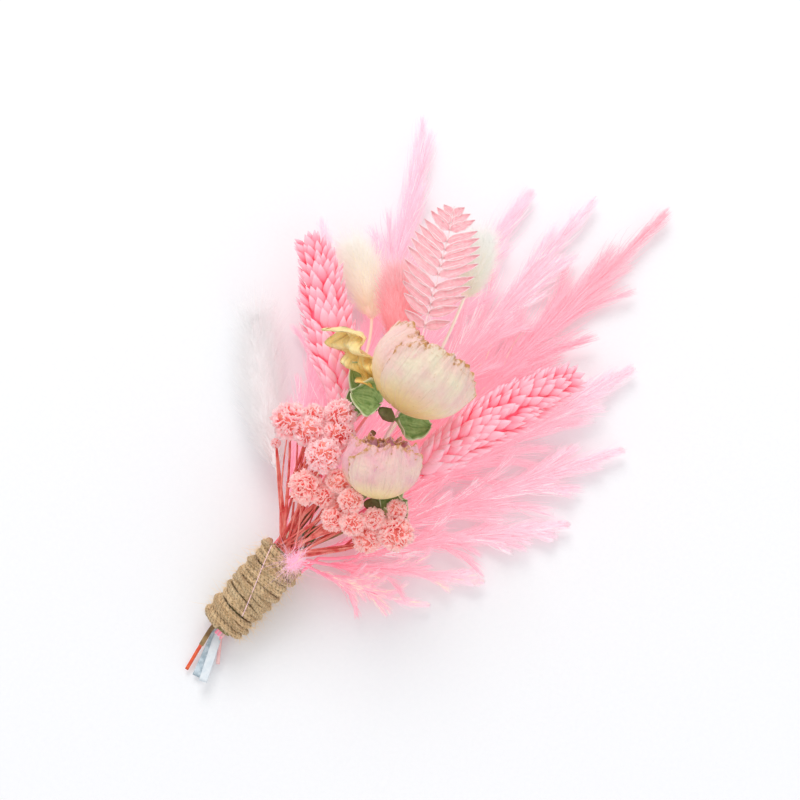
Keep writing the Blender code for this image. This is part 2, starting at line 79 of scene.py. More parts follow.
class Surface:
    """Points of a mesh under way, its faces in arrays of one corner count each, and values per point."""

    def __init__(self, points, faces, **values):
        self.points = np.asarray(points, float).reshape(-1, 3)
        self.faces = faces
        self.values = {key: np.broadcast_to(value, len(self.points)) for key, value in values.items()}

    def __add__(self, other):
        shifted = [corners + len(self.points) for corners in other.faces]
        values = {
            key: np.concatenate((self.values.get(key, np.zeros(len(self.points))),
                                 other.values.get(key, np.zeros(len(other.points)))))
            for key in {**self.values, **other.values}
        }
        return Surface(np.vstack((self.points, other.points)), [*self.faces, *shifted], **values)


def joined(surfaces):
    """All surfaces as one, added in order."""
    surfaces = list(surfaces)
    total = surfaces[0]
    for surface in surfaces[1:]:
        total = total + surface
    return total


def unit(vectors):
    return vectors / np.maximum(np.linalg.norm(vectors, axis=-1, keepdims=True), 1e-12)


def smoothstep(low, high, value):
    """0 below low, 1 above high, and 3 s squared less 2 s cubed between."""
    share = np.clip((value - low) / (high - low), 0.0, 1.0)
    return share * share * (3.0 - 2.0 * share)


def ripple(across, along, count, seed, pull=1.0):
    """Sum of count sine waves with whole random frequencies over the sheet, each weaker as it is finer."""
    rng = np.random.default_rng(seed)
    total = np.zeros(np.broadcast(across, along).shape)
    for _ in range(count):
        across_rate, along_rate = rng.uniform(0.6, 5.0), rng.uniform(-1.6, 1.6) * pull
        phase, weight = rng.uniform(0.0, 2 * math.pi), rng.uniform(0.4, 1.0)
        total += weight / across_rate * np.sin(math.pi * (across_rate * across + along_rate * along) + phase)
    return total


def sheet(points, **values):
    """An open sheet from a grid of points, rows by columns, with its two parameters as u and v."""
    rows, columns = points.shape[:2]
    corner = (np.arange(rows - 1)[:, None] * columns + np.arange(columns - 1)).ravel()
    faces = np.stack((corner, corner + 1, corner + columns + 1, corner + columns), axis=1)
    v, u = np.meshgrid(np.linspace(0, 1, rows), np.linspace(-1, 1, columns), indexing="ij")
    return Surface(points, [faces], u=u.ravel(), v=v.ravel(), **values)


def axes_along(path):
    """Unit tangent of a path, the level direction across it, and the direction that is upright to both."""
    tangent = unit(np.gradient(path, axis=0))
    across = unit(np.cross(tangent, UP))
    return tangent, across, np.cross(across, tangent)


def tube(path, half_width, half_height, sides=10, **values):
    """A closed tube: an ellipse carried along the path, with a flat cap at each end."""
    _, across, upright = axes_along(path)
    turn = 2 * math.pi * np.arange(sides) / sides
    wide = np.broadcast_to(half_width, len(path))[:, None, None]
    high = np.broadcast_to(half_height, len(path))[:, None, None]
    ring = wide * np.cos(turn)[:, None] * across[:, None] - high * np.sin(turn)[:, None] * upright[:, None]
    points = path[:, None] + ring
    start = np.arange(len(path) - 1)[:, None] * sides
    here = start + np.arange(sides)
    after = start + (np.arange(sides) + 1) % sides
    walls = np.stack((here, after, after + sides, here + sides), axis=-1).reshape(-1, 4)
    first = np.arange(sides)[::-1][None]
    last = np.arange(sides)[None] + (len(path) - 1) * sides
    along = np.repeat(np.linspace(0, 1, len(path)), sides)
    return Surface(points, [walls, first, last], v=along, **values)


def hairs(roots, spans, bends, half_widths, rings=3, **values):
    """Tapering hairs. A hair's middle line is root + span t + bend t squared, and its three sides, whose
    distance from that line is the half-width times (1 - t) to the power 0.6, close at t = 1."""
    count = len(roots)
    t = (np.arange(rings) / rings)[None, :, None]
    middle = roots[:, None] + spans[:, None] * t + bends[:, None] * t**2
    side = unit(np.cross(spans, UP) + 1e-9)
    lift = unit(np.cross(side, spans))
    turn = (2 * math.pi * np.arange(3) / 3)[None, :, None]
    ring = np.cos(turn) * side[:, None] + np.sin(turn) * lift[:, None]
    half = np.broadcast_to(half_widths, count)[:, None] * (1 - t[:, :, 0]) ** 0.6
    body = middle[:, :, None] + half[:, :, None, None] * ring[:, None]
    tips = roots + spans + bends
    points = np.concatenate((body.reshape(count, -1, 3), tips[:, None]), axis=1)
    size = 3 * rings + 1
    base = (np.arange(count) * size)[:, None, None]
    near = np.arange(3)
    far = (near + 1) % 3
    step = 3 * np.arange(rings - 1)[:, None]
    walls = np.stack((step + near, step + near + 3, step + far + 3, step + far), axis=-1).reshape(1, -1, 4)
    last = 3 * (rings - 1)
    closing = np.stack((last + near, np.full(3, size - 1), last + far), axis=-1)
    ends = np.vstack((closing, near))[None]
    faces = [(base + walls).reshape(-1, 4), (base + ends).reshape(-1, 3)]
    along = np.tile(np.append(np.repeat(np.arange(rings) / rings, 3), 1.0), count)
    per_hair = {key: np.repeat(np.broadcast_to(value, count), size) for key, value in values.items()}
    return Surface(points, faces, along=along, **per_hair)


def copies(shape, frames, places, **values):
    """A shape repeated: each copy's points are the shape's, times a 3 x 3 frame, plus its place."""
    count, size = len(places), len(shape.points)
    points = np.einsum("pk,nkc->npc", shape.points, frames) + places[:, None]
    base = (np.arange(count) * size)[:, None, None]
    faces = [(base + corners[None]).reshape(-1, corners.shape[1]) for corners in shape.faces]
    kept = {key: np.tile(value, count) for key, value in shape.values.items()}
    per_copy = {key: np.repeat(np.broadcast_to(value, count), size) for key, value in values.items()}
    return Surface(points, faces, **kept, **per_copy)


def add_piece(name, surface, material, replaces, thickness=0.0, smooth=True):
    """Makes the surface an object that rides on the bunch and stands for the frame nodes it replaces."""
    mesh = bpy.data.meshes.new(name)
    counts = np.concatenate([np.full(len(corners), corners.shape[1]) for corners in surface.faces])
    corners = np.concatenate([corners.ravel() for corners in surface.faces]).astype(np.int32)
    mesh.vertices.add(len(surface.points))
    mesh.vertices.foreach_set("co", surface.points.astype(np.float32).ravel())
    mesh.loops.add(len(corners))
    mesh.loops.foreach_set("vertex_index", corners)
    mesh.polygons.add(len(counts))
    mesh.polygons.foreach_set("loop_start", (np.cumsum(counts) - counts).astype(np.int32))
    mesh.update(calc_edges=True)
    for key, value in surface.values.items():
        layer = mesh.attributes.new(key, "FLOAT", "POINT")
        layer.data.foreach_set("value", value.astype(np.float32))
    mesh.materials.append(material)
    if smooth:
        mesh.shade_smooth()
    piece = bpy.data.objects.new(name, mesh)
    bpy.context.scene.collection.objects.link(piece)
    if thickness:
        wall = piece.modifiers.new("wall", "SOLIDIFY")
        wall.thickness = thickness
        wall.offset = 0.0
    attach(piece, "root")
    if replaces:
        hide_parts(*replaces)
    return piece


# ---------------------------------------------------------------- places read from the frame


def node_points(node):
    """The different points of a frame solid."""
    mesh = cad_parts[node].data
    flat = np.empty(len(mesh.vertices) * 3, np.float32)
    mesh.vertices.foreach_get("co", flat)
    return np.unique(np.round(flat.reshape(-1, 3).astype(float), 6), axis=0)


def handle():
    """The wrap's middle line: its upper and lower end, and the twine's outer radius at each."""
    points = node_points("twine")
    centre = points.mean(axis=0)
    _, _, directions = np.linalg.svd(points - centre, full_matrices=False)
    up_along = directions[0] * np.sign(directions[0][1])
    along = (points - centre) @ up_along
    off = np.linalg.norm(points - centre - along[:, None] * up_along, axis=1)
    third = np.quantile(along, (0.15, 0.85))
    radii = (off[along > third[1]].max(), off[along < third[0]].max())
    return centre + along.max() * up_along, centre + along.min() * up_along, radii


HANDLE_TOP, HANDLE_BOTTOM, (HANDLE_TOP_RADIUS, HANDLE_BOTTOM_RADIUS) = handle()
HANDLE_DOWN = unit(HANDLE_BOTTOM - HANDLE_TOP)
HANDLE_LENGTH = np.linalg.norm(HANDLE_BOTTOM - HANDLE_TOP)


def even(path, count):
    """The path's points moved to equal distances along it."""
    gone = np.concatenate(([0.0], np.cumsum(np.linalg.norm(np.diff(path, axis=0), axis=1))))
    wanted = np.linspace(0.0, gone[-1], count)
    return np.stack([np.interp(wanted, gone, path[:, axis]) for axis in range(3)], axis=1)


def course(node, count=60):
    """Middle line of a stalk above the wrap, how far its solid stands from that line at each point, and the
    middles of its rings below. Each coordinate is a quintic of the share of the chord to the tip."""
    points = node_points(node)
    above = points[points[:, 1] > HANDLE_TOP[1] + 0.5 * MM]
    tip = above[np.argmax(np.linalg.norm(above - HANDLE_TOP, axis=1))]
    chord = tip - HANDLE_TOP
    share = (above - HANDLE_TOP) @ chord / (chord @ chord)
    low = share.min()
    fits = [np.polyfit(share, above[:, axis], 5) for axis in range(3)]
    samples = np.linspace(low, 1.0, count)
    path = even(np.stack([np.polyval(fit, samples) for fit in fits], axis=1), count)
    nearest = np.argmin(np.linalg.norm(above[:, None] - path[None], axis=2), axis=1)
    off = np.linalg.norm(above - path[nearest], axis=1)
    reach = np.array([off[nearest == spot].max(initial=0.0) for spot in range(count)])
    under = points[points[:, 1] < HANDLE_TOP[1] - 0.5 * MM]
    under = under[np.argsort(under[:, 1])]
    groups = np.split(under, np.flatnonzero(np.diff(under[:, 1]) > 0.7 * MM) + 1)
    return path, reach, np.array([group.mean(axis=0) for group in groups])


def head_of(path, reach, bare=0.9 * MM):
    """The part of a stalk's middle line where its solid is thick, and its greatest thickness."""
    thick = np.flatnonzero(reach > bare)
    return path[thick[0]:], reach.max()


# ---------------------------------------------------------------- materials


def add_node(tree, kind, inputs=None, **settings):
    """A node with its settings, each input either linked to a socket or set to a value."""
    node = tree.nodes.new(kind)
    for key, value in settings.items():
        setattr(node, key, value)
    for key, value in (inputs or {}).items():
        if isinstance(value, bpy.types.NodeSocket):
            tree.links.new(value, node.inputs[key])
        else:
            node.inputs[key].default_value = value
    return node


def opaque(colour):
    return (*colour, 1.0)


def mixed(tree, share, first, second):
    """Colour between first and second, each a socket or a colour."""
    mix = add_node(tree, "ShaderNodeMix", data_type="RGBA")
    for socket, value in ((mix.inputs[0], share), (mix.inputs[6], first), (mix.inputs[7], second)):
        if isinstance(value, bpy.types.NodeSocket):
            tree.links.new(value, socket)
        else:
            socket.default_value = value
    return mix.outputs[2]


def value_of(tree, name):
    """A value stored on the mesh's points."""
    return add_node(tree, "ShaderNodeAttribute", attribute_name=name).outputs["Fac"]


def maths(tree, operation, first, second=0.5, clamp=False):
    node = add_node(tree, "ShaderNodeMath", operation=operation, use_clamp=clamp)
    for socket, value in zip(node.inputs, (first, second)):
        if isinstance(value, bpy.types.NodeSocket):
            tree.links.new(value, socket)
        else:
            socket.default_value = value
    return node.outputs[0]


def ranged(tree, value, low, high, to_low=0.0, to_high=1.0):
    node = add_node(tree, "ShaderNodeMapRange", interpolation_type="SMOOTHSTEP")
    for key, entry in (("Value", value), ("From Min", low), ("From Max", high), ("To Min", to_low),
                       ("To Max", to_high)):
        if isinstance(entry, bpy.types.NodeSocket):
            tree.links.new(entry, node.inputs[key])
        else:
            node.inputs[key].default_value = entry
    return node.outputs["Result"]


def noise(tree, scale, detail=4.0, stretch=None, vector=None):
    """Noise on object coordinates, or on a given vector, optionally stretched by a mapping."""
    source = vector or add_node(tree, "ShaderNodeTexCoord").outputs["Object"]
    if stretch is not None:
        source = add_node(tree, "ShaderNodeMapping", {"Vector": source, "Scale": stretch}).outputs["Vector"]
    inputs = {"Vector": source, "Scale": scale, "Detail": detail}
    return add_node(tree, "ShaderNodeTexNoise", inputs).outputs["Fac"]


def new_group(name, inputs, outputs):
    """A shader node group with named sockets, and its two ends."""
    group = bpy.data.node_groups.new(name, "ShaderNodeTree")
    for label, kind, value in inputs:
        socket = group.interface.new_socket(label, in_out="INPUT", socket_type=f"NodeSocket{kind}")
        socket.default_value = value
    for label, kind in outputs:
        group.interface.new_socket(label, in_out="OUTPUT", socket_type=f"NodeSocket{kind}")
    return group, group.nodes.new("NodeGroupInput").outputs, group.nodes.new("NodeGroupOutput").inputs


def mottle_group():
    """Dry plant colour: broad blotches between two colours, and small spots of a third."""
    if "Dry mottle" in bpy.data.node_groups:
        return bpy.data.node_groups["Dry mottle"]
    group, given, out = new_group(
        "Dry mottle",
        [("Pale", "Color", (1, 1, 1, 1)), ("Deep", "Color", (1, 0, 0, 1)), ("Spot", "Color", (0, 0, 0, 1)),
         ("Scale", "Float", 200.0), ("Spots", "Float", 0.2)],
        [("Color", "Color"), ("Height", "Float")],
    )
    coordinates = add_node(group, "ShaderNodeTexCoord").outputs["Object"]
    broad = add_node(group, "ShaderNodeTexNoise",
                     {"Vector": coordinates, "Scale": given["Scale"], "Detail": 5.0})
    fine_scale = maths(group, "MULTIPLY", given["Scale"], 5.0)
    fine = add_node(group, "ShaderNodeTexNoise", {"Vector": coordinates, "Scale": fine_scale, "Detail": 3.0})
    body = mixed(group, ranged(group, broad.outputs["Fac"], 0.35, 0.65), given["Pale"], given["Deep"])
    specks = ranged(group, fine.outputs["Fac"], 0.58, 0.72)
    spots = maths(group, "MULTIPLY", specks, given["Spots"], clamp=True)
    group.links.new(mixed(group, spots, body, given["Spot"]), out["Color"])
    group.links.new(maths(group, "ADD", broad.outputs["Fac"], fine.outputs["Fac"]), out["Height"])
    return group


def hair_group():
    """Colour of a hair: three colours from root to tip, a little paler or deeper from hair to hair."""
    if "Hair colour" in bpy.data.node_groups:
        return bpy.data.node_groups["Hair colour"]
    group, given, out = new_group(
        "Hair colour",
        [("Root", "Color", (1, 0, 0, 1)), ("Middle", "Color", (1, 0.5, 0.5, 1)),
         ("Tip", "Color", (1, 1, 1, 1)),
         ("Stray", "Color", (1, 0.9, 0.6, 1)), ("Stray Share", "Float", 0.1)],
        [("Color", "Color")],
    )
    along, tone, head = (value_of(group, name) for name in ("along", "tone", "head"))
    place = maths(group, "ADD", maths(group, "MULTIPLY", head, 0.75), maths(group, "MULTIPLY", along, 0.30))
    lower = mixed(group, ranged(group, place, 0.08, 0.48), given["Root"], given["Middle"])
    body = mixed(group, ranged(group, place, 0.45, 0.95), lower, given["Tip"])
    varied = mixed(group, ranged(group, tone, 0.0, 1.0, 0.0, 0.4), body, given["Tip"])
    deeper = mixed(group, ranged(group, tone, 0.22, 0.0, 0.0, 0.45), varied, given["Root"])
    limit = maths(group, "SUBTRACT", 1.0, given["Stray Share"])
    stray = maths(group, "GREATER_THAN", tone, limit)
    group.links.new(mixed(group, stray, deeper, given["Stray"]), out["Color"])
    return group


def shader_material(name, roughness, sheen=0.0, subsurface=0.0, painted_glow=0.0):
    """A new material with its Principled shader, whose constant values sit on its own sockets.

    painted_glow sets the emission strength: painted light that makes thin dyed hairs and petals glow,
    standing in for the light they let through and lifting them out of the shade they cast on each other."""
    material = bpy.data.materials.new(name)
    material.use_nodes = True
    tree = material.node_tree
    shader = tree.nodes["Principled BSDF"]
    shader.inputs["Roughness"].default_value = roughness
    shader.inputs["Specular IOR Level"].default_value = 0.25
    shader.inputs["Sheen Weight"].default_value = sheen
    # Emission strength: painted glow, though the surface is no lamp
    shader.inputs["Emission Strength"].default_value = painted_glow
    if subsurface:
        shader.inputs["Subsurface Weight"].default_value = subsurface
        shader.inputs["Subsurface Radius"].default_value = (0.6, 0.3, 0.25)
        shader.inputs["Subsurface Scale"].default_value = 1.5 * MM
    return material, tree, shader


def paint_with_glow(tree, shader, colour):
    """The same colour on the surface and in its emission, the painted glow."""
    tree.links.new(colour, shader.inputs["Base Color"])
    tree.links.new(colour, shader.inputs["Emission Color"])


def bump(tree, shader, height, strength, distance):
    node = add_node(tree, "ShaderNodeBump", {"Height": height, "Strength": strength, "Distance": distance})
    tree.links.new(node.outputs["Normal"], shader.inputs["Normal"])


def hair_material(name, root, middle, tip, stray=(0.95, 0.80, 0.55), stray_share=0.03, painted_glow=0.26):
    """Silky dyed hairs."""
    material, tree, shader = shader_material(name, 0.65, painted_glow=painted_glow)
    group = add_node(tree, "ShaderNodeGroup", node_tree=hair_group())
    for label, colour in (("Root", root), ("Middle", middle), ("Tip", tip), ("Stray", stray)):
        group.inputs[label].default_value = opaque(colour)
    group.inputs["Stray Share"].default_value = stray_share
    paint_with_glow(tree, shader, group.outputs["Color"])
    return material


def mottled_material(name, pale, deep, spot, scale, spots, roughness=0.8, bump_distance=0.15 * MM):
    """Matt dried stems, tape and branches."""
    material, tree, shader = shader_material(name, roughness)
    group = add_node(tree, "ShaderNodeGroup", node_tree=mottle_group())
    for label, colour in (("Pale", pale), ("Deep", deep), ("Spot", spot)):
        group.inputs[label].default_value = opaque(colour)
    group.inputs["Scale"].default_value = scale
    group.inputs["Spots"].default_value = spots
    tree.links.new(group.outputs["Color"], shader.inputs["Base Color"])
    bump(tree, shader, group.outputs["Height"], 0.6, bump_distance)
    return material


def veins(tree, rate, stretch):
    """Fine lines that run up a sheet: noise on its own two parameters, squeezed across."""
    place = add_node(tree, "ShaderNodeCombineXYZ", {"X": value_of(tree, "u"), "Y": value_of(tree, "v"),
                                                    "Z": value_of(tree, "tone")}).outputs["Vector"]
    return noise(tree, 1.0, 6.0, stretch=(rate, rate / stretch, 7.0), vector=place)


def petal_material(name, base, body, blush, rim):
    """Dry petal: yellow at its foot, cream with blushed blotches and fine veins, and a brown dried rim."""
    material, tree, shader = shader_material(name, 0.62, sheen=0.2, subsurface=0.15, painted_glow=0.08)
    up, tone = value_of(tree, "v"), value_of(tree, "tone")
    lines = veins(tree, 14.0, 9.0)
    blotches = noise(tree, 150.0, 5.0)
    fine = noise(tree, 900.0, 4.0)
    high = maths(tree, "MULTIPLY", up, 0.22)
    share = maths(tree, "ADD", maths(tree, "ADD", blotches, maths(tree, "MULTIPLY", tone, 0.3)), high)
    share = maths(tree, "MULTIPLY", ranged(tree, share, 0.45, 0.85), 0.85)
    colour = mixed(tree, share, opaque(body), opaque(blush))
    colour = mixed(tree, ranged(tree, up, 0.62, 0.10), colour, opaque(base))
    streaks = maths(tree, "MULTIPLY", ranged(tree, lines, 0.52, 0.72), 0.35)
    colour = mixed(tree, streaks, colour, opaque(blush))
    edge = maths(tree, "ADD", value_of(tree, "edge"), maths(tree, "MULTIPLY", fine, 0.5))
    colour = mixed(tree, ranged(tree, edge, 1.15, 1.30), colour, opaque(rim))
    spots = ranged(tree, fine, 0.66, 0.74, 0.0, 0.35)
    paint_with_glow(tree, shader, mixed(tree, spots, colour, opaque(rim)))
    bump(tree, shader, maths(tree, "ADD", lines, maths(tree, "MULTIPLY", fine, 0.5)), 1.0, 0.9 * MM)
    return material


def leaf_material(name, pale, deep, edge_colour, rate=10.0):
    """Dry leaf, sepal or leaflet: veined, with a paler edge."""
    material, tree, shader = shader_material(name, 0.6, sheen=0.1, painted_glow=0.10)
    lines = veins(tree, rate, 5.0)
    fine = noise(tree, 1200.0, 3.0)
    veined = maths(tree, "ADD", lines, maths(tree, "MULTIPLY", fine, 0.4))
    colour = mixed(tree, ranged(tree, veined, 0.5, 0.9), opaque(deep), opaque(pale))
    rim_share = ranged(tree, value_of(tree, "edge"), 0.6, 1.0, 0.0, 0.8)
    colour = mixed(tree, rim_share, colour, opaque(edge_colour))
    paint_with_glow(tree, shader, colour)
    bump(tree, shader, maths(tree, "ADD", lines, fine), 0.6, 0.25 * MM)
    return material


def scale_material(name, foot, body, tip, crease_shade=(0.98, 0.26, 0.30)):
    """Papery scale or floret petal: deep in its foot, paler to its tip, a different tone on each. On the
    florets the deep foot and the crease_shade streaks are painted shade in the gaps between petals.
    """
    material, tree, shader = shader_material(name, 0.6, sheen=0.15, painted_glow=0.16)
    up, tone = value_of(tree, "v"), value_of(tree, "tone")
    # On the florets the foot colour is painted shade in the gaps deep inside the floret
    colour = mixed(tree, ranged(tree, up, 0.0, 0.5), opaque(foot), opaque(body))
    colour = mixed(tree, ranged(tree, up, 0.45, 1.0), colour, opaque(tip))
    colour = mixed(tree, ranged(tree, tone, 0.2, 1.0, 0.0, 0.5), colour, opaque(tip))
    lines = veins(tree, 7.0, 4.0)
    # crease_shade: painted shade for the creases, laid along vein-like streaks
    colour = mixed(tree, ranged(tree, lines, 0.55, 0.75, 0.0, 0.4), colour, opaque(crease_shade))
    paint_with_glow(tree, shader, colour)
    bump(tree, shader, lines, 0.6, 0.15 * MM)
    return material


# ---------------------------------------------------------------- grasses


def stalk_tube(path, under, radius, sides=8):
    """Stem from its cut end, through the wrap, to the end of path."""
    line = np.vstack((under, path)) if len(under) else path
    return tube(line, radius, radius, sides, along=0.0, tone=0.3, head=0.0)


def spindle_roots(rng, line, reach, count, flatness=1.0, fullest=0.4):
    """Random places over a head: share along it, point on its core, and the outward direction there."""
    share = rng.random(count) ** 0.85
    spot = share * (len(line) - 1)
    middle = np.stack([np.interp(spot, np.arange(len(line)), line[:, axis]) for axis in range(3)], axis=1)
    tangent, across, upright = axes_along(line)
    lower = np.minimum(spot.astype(int), len(line) - 1)
    turn = rng.uniform(0.0, 2 * math.pi, count)
    outward = np.cos(turn)[:, None] * across[lower] + flatness * np.sin(turn)[:, None] * upright[lower]
    power = math.log(0.5) / math.log(fullest)
    swell = np.sin(math.pi * np.clip(share, 0, 1) ** power * 0.86 + 0.22) * reach
    return share, middle, tangent[lower], outward, swell, across[lower], upright[lower]


def at(line, share):
    """Point, unit tangent, across and upright directions at each share of a line's length."""
    spot = np.clip(share, 0.0, 1.0) * (len(line) - 1)
    point = np.stack([np.interp(spot, np.arange(len(line)), line[:, axis]) for axis in range(3)], axis=1)
    nearest = np.round(spot).astype(int)
    return (point, *(axis[nearest] for axis in axes_along(line)))


def plume(node, wisp_count, hairs_per_wisp, seed):
    """Dyed plume, a rachis with pointed wisps of hair on both sides, the longest below its middle.

    A wisp's line leaves the rachis at a share of its length and ends sideways of a later share, inside an
    envelope that is widest below the middle and closes at the tip. Its hairs spring from that line, fan
    out by a tenth of their length, and meet again at the wisp's own tip."""
    rng = np.random.default_rng(seed)
    path, reach, under = course(node)
    widest = 1.6 * reach.max() + 5.0 * MM
    base = np.sort(rng.uniform(0.10, 0.80, wisp_count))
    base[-3:] = (0.72, 0.78, 0.84)
    end = np.clip(base + rng.uniform(0.20, 0.34, wisp_count), 0.0, 1.0)
    end[-1] = 1.0
    side = rng.permutation(np.linspace(-1.0, 1.0, wisp_count)) * (1.0 - end) ** 0.12
    side[-1] = 0.0
    envelope = widest * np.sin(math.pi * np.clip(end, 0.0, 1.0) ** 1.25) ** 0.65
    start, ahead, _, _ = at(path, base)
    finish, _, across, upright = at(path, end)
    rise = rng.uniform(-0.2, 0.55, wisp_count)[:, None] * upright
    finish = finish + envelope[:, None] * (side[:, None] * across + 0.45 * rise)
    leave = ahead * np.linalg.norm(finish - start, axis=1)[:, None] * 0.55
    wisp = np.repeat(np.arange(wisp_count), hairs_per_wisp)
    count = len(wisp)
    t = rng.random(count) ** 0.9 * 0.86
    back = 1.0 - t
    middle = start + leave
    root = ((back**2)[:, None] * start[wisp] + (2 * back * t)[:, None] * middle[wisp]
            + (t**2)[:, None] * finish[wisp])
    heading = unit((2 * back)[:, None] * (middle - start)[wisp] + (2 * t)[:, None] * (finish - middle)[wisp])
    wisp_length = np.linalg.norm(finish - start, axis=1)[wisp]
    size = wisp_length * rng.uniform(0.22, 0.5, count) * (1.1 - 0.45 * t)
    fan = size * (0.20 - 0.09 * t) * rng.normal(0.0, 0.75, count)
    sideways = unit(np.cross(heading, UP))
    lift = 0.5 * size * (0.17 - 0.08 * t) * rng.normal(0.25, 0.8, count)
    spread = fan[:, None] * sideways + lift[:, None] * UP
    spans = heading * (size * 0.8)[:, None] + 2.0 * spread
    bends = heading * (size * 0.2)[:, None] - 1.1 * spread
    over = root + spans + bends - finish[wisp]
    past = np.maximum(np.sum(over * heading, axis=1), 0.0)[:, None]
    bends = bends - past * heading * 0.8
    surface = hairs(root, spans, bends, rng.uniform(0.055, 0.14, count) * MM, rings=4,
                    tone=0.7 * rng.random(count) + 0.3 * rng.random(wisp_count)[wisp],
                    head=base[wisp] + (end - base)[wisp] * t)
    stem_line = np.vstack((under[-1:], path[: int(0.97 * len(path))]))
    radii = np.linspace(0.42, 0.10, len(stem_line)) * MM
    return on_floor(tube(stem_line, radii, radii, 8, along=0.0, tone=0.3, head=0.2) + surface)


def on_floor(surface):
    """Nothing lies lower than the bunch's lowest point: what would is laid on that level."""
    surface.points[:, 2] = np.maximum(surface.points[:, 2], cad_low[2] + 0.1 * MM)
    return surface


def tail(node, strand_count, length, seed):
    """Bunny tail: an oval core with fine hairs that stand off it and point to its tip."""
    rng = np.random.default_rng(seed)
    path, reach, under = course(node)
    line, widest = head_of(path, reach, 1.1 * MM)
    share, middle, tangent, outward, swell, _, _ = spindle_roots(rng, line, widest * 0.8, strand_count,
                                                                 0.92, 0.5)
    roots = middle + outward * (swell * 0.55)[:, None]
    size = length * rng.uniform(0.5, 1.0, strand_count)
    wander = rng.normal(0.0, 0.22, (strand_count, 3)) * size[:, None]
    spans = outward * (size * 0.75)[:, None] + tangent * (size * 0.55)[:, None] + wander
    bends = tangent * (size * 0.4)[:, None] - outward * (size * 0.2)[:, None]
    fur = hairs(roots, spans, bends, rng.uniform(0.035, 0.075, strand_count) * MM, rings=3,
                tone=rng.random(strand_count), head=share)
    steps = np.linspace(0, 1, len(line))
    core = np.maximum(0.3 * MM, np.sin(math.pi * (0.06 + 0.88 * steps)) ** 0.8 * widest * 0.62)
    body = tube(line, core, core * 0.92, 16, along=0.15, tone=0.2, head=0.3)
    stem = path[: len(path) - len(line) + 2]
    return on_floor(stalk_tube(stem, under, 0.4 * MM) + body + fur)


def boat_scale(rows=5, columns=5):
    """Boat-shaped scale, 1 long and 0.42 wide: its width is sin(pi v^0.8), it folds along its keel, and its
    tip leans out."""
    v = np.linspace(0.0, 1.0, rows)[:, None]
    u = np.linspace(-1.0, 1.0, columns)[None]
    width = 0.26 * np.sin(math.pi * np.clip(v, 0.02, 0.985) ** 0.75)
    across = width * u
    lift = 0.16 * np.sin(math.pi * v) * (1 - np.abs(u) ** 1.4) + 0.16 * v**2
    points = np.stack((across, np.broadcast_to(v, across.shape), lift), axis=-1)
    return sheet(points, edge=0.0)


def scaly_head(node, scale_count, scale_length, seed):
    """Canary grass: boat-shaped scales in a spiral over a spindle, each lapping the next."""
    rng = np.random.default_rng(seed)
    path, reach, under = course(node)
    line, widest = head_of(path, reach, 1.1 * MM)
    share = (np.arange(scale_count) + 0.5) / scale_count
    spot = share * (len(line) - 1)
    middle = np.stack([np.interp(spot, np.arange(len(line)), line[:, axis]) for axis in range(3)], axis=1)
    tangent, across, upright = (axis[np.round(spot).astype(int)] for axis in axes_along(line))
    turn = np.arange(scale_count) * math.radians(137.5) + rng.normal(0, 0.12, scale_count)
    outward = np.cos(turn)[:, None] * across + np.sin(turn)[:, None] * upright
    core = widest * 0.72 * np.sin(math.pi * (0.10 + 0.82 * share)) ** 0.7
    lean = rng.uniform(0.24, 0.42, scale_count)
    direction = unit(tangent + outward * lean[:, None])
    face = unit(outward - direction * np.sum(outward * direction, axis=1)[:, None])
    size = scale_length * rng.uniform(0.8, 1.15, scale_count) * (1.08 - 0.3 * share)
    frames = np.stack((np.cross(direction, face), direction, face), axis=1) * size[:, None, None]
    places = middle + outward * (core * 0.8)[:, None]
    scales = copies(boat_scale(), frames, places, tone=rng.random(scale_count))
    body = tube(line, np.maximum(core_along(line, widest), 0.3 * MM), core_along(line, widest) + 0.1 * MM, 14,
                u=0.0, tone=0.1, edge=0.0)
    body.values["v"] = np.zeros(len(body.points))
    stem = stalk_tube(path[: len(path) - len(line) + 2], under, 0.42 * MM)
    stem.values["v"] = np.zeros(len(stem.points))
    return scales + body + stem


def core_along(line, widest):
    """Radius of the core under the scales: a sine over the head's length."""
    return widest * 0.62 * np.sin(math.pi * (0.05 + 0.9 * np.linspace(0, 1, len(line)))) ** 0.7


# ---------------------------------------------------------------- leaves and the fern


def blade(path, half_width, cup, curl, seed, rows=36, columns=13, tone=0.5, fullest=0.45, face=UP, twist=0.0,
          wave=0.14, waist=0.0):
    """Leaf on a middle line: half-width sin(pi v^k), sides lifted by cup times u squared, an edge that waves,
    a tip that rolls up by curl, a twist that grows with v, and a waist a little past the middle."""
    path = even(path, rows)
    tangent = unit(np.gradient(path, axis=0))
    across = unit(np.cross(tangent, face))
    normal = np.cross(across, tangent)
    v = np.linspace(0.0, 1.0, rows)[:, None]
    u = np.linspace(-1.0, 1.0, columns)[None]
    turn = twist * v
    across, normal = (np.cos(turn) * across + np.sin(turn) * normal,
                      np.cos(turn) * normal - np.sin(turn) * across)
    power = math.log(0.5) / math.log(fullest)
    width = half_width * np.maximum(np.sin(math.pi * v**power), 0.03) ** 0.8
    width = width * (1.0 - waist * np.exp(-(((v - 0.55) / 0.12) ** 2)))
    width = width * (1.0 + 0.5 * wave * ripple(u, v * 4, 5, seed + 9))
    lift = half_width * (cup * u**2 + wave * ripple(u * 1.3, v * 3.0, 6, seed, 2.0) * np.abs(u) ** 0.5)
    lift = lift + curl * half_width * v**3
    points = path[:, None] + (width * u)[..., None] * across[:, None] + lift[..., None] * normal[:, None]
    edge = np.broadcast_to(np.abs(u) ** 3, lift.shape).ravel()
    return sheet(points, edge=edge, tone=tone)


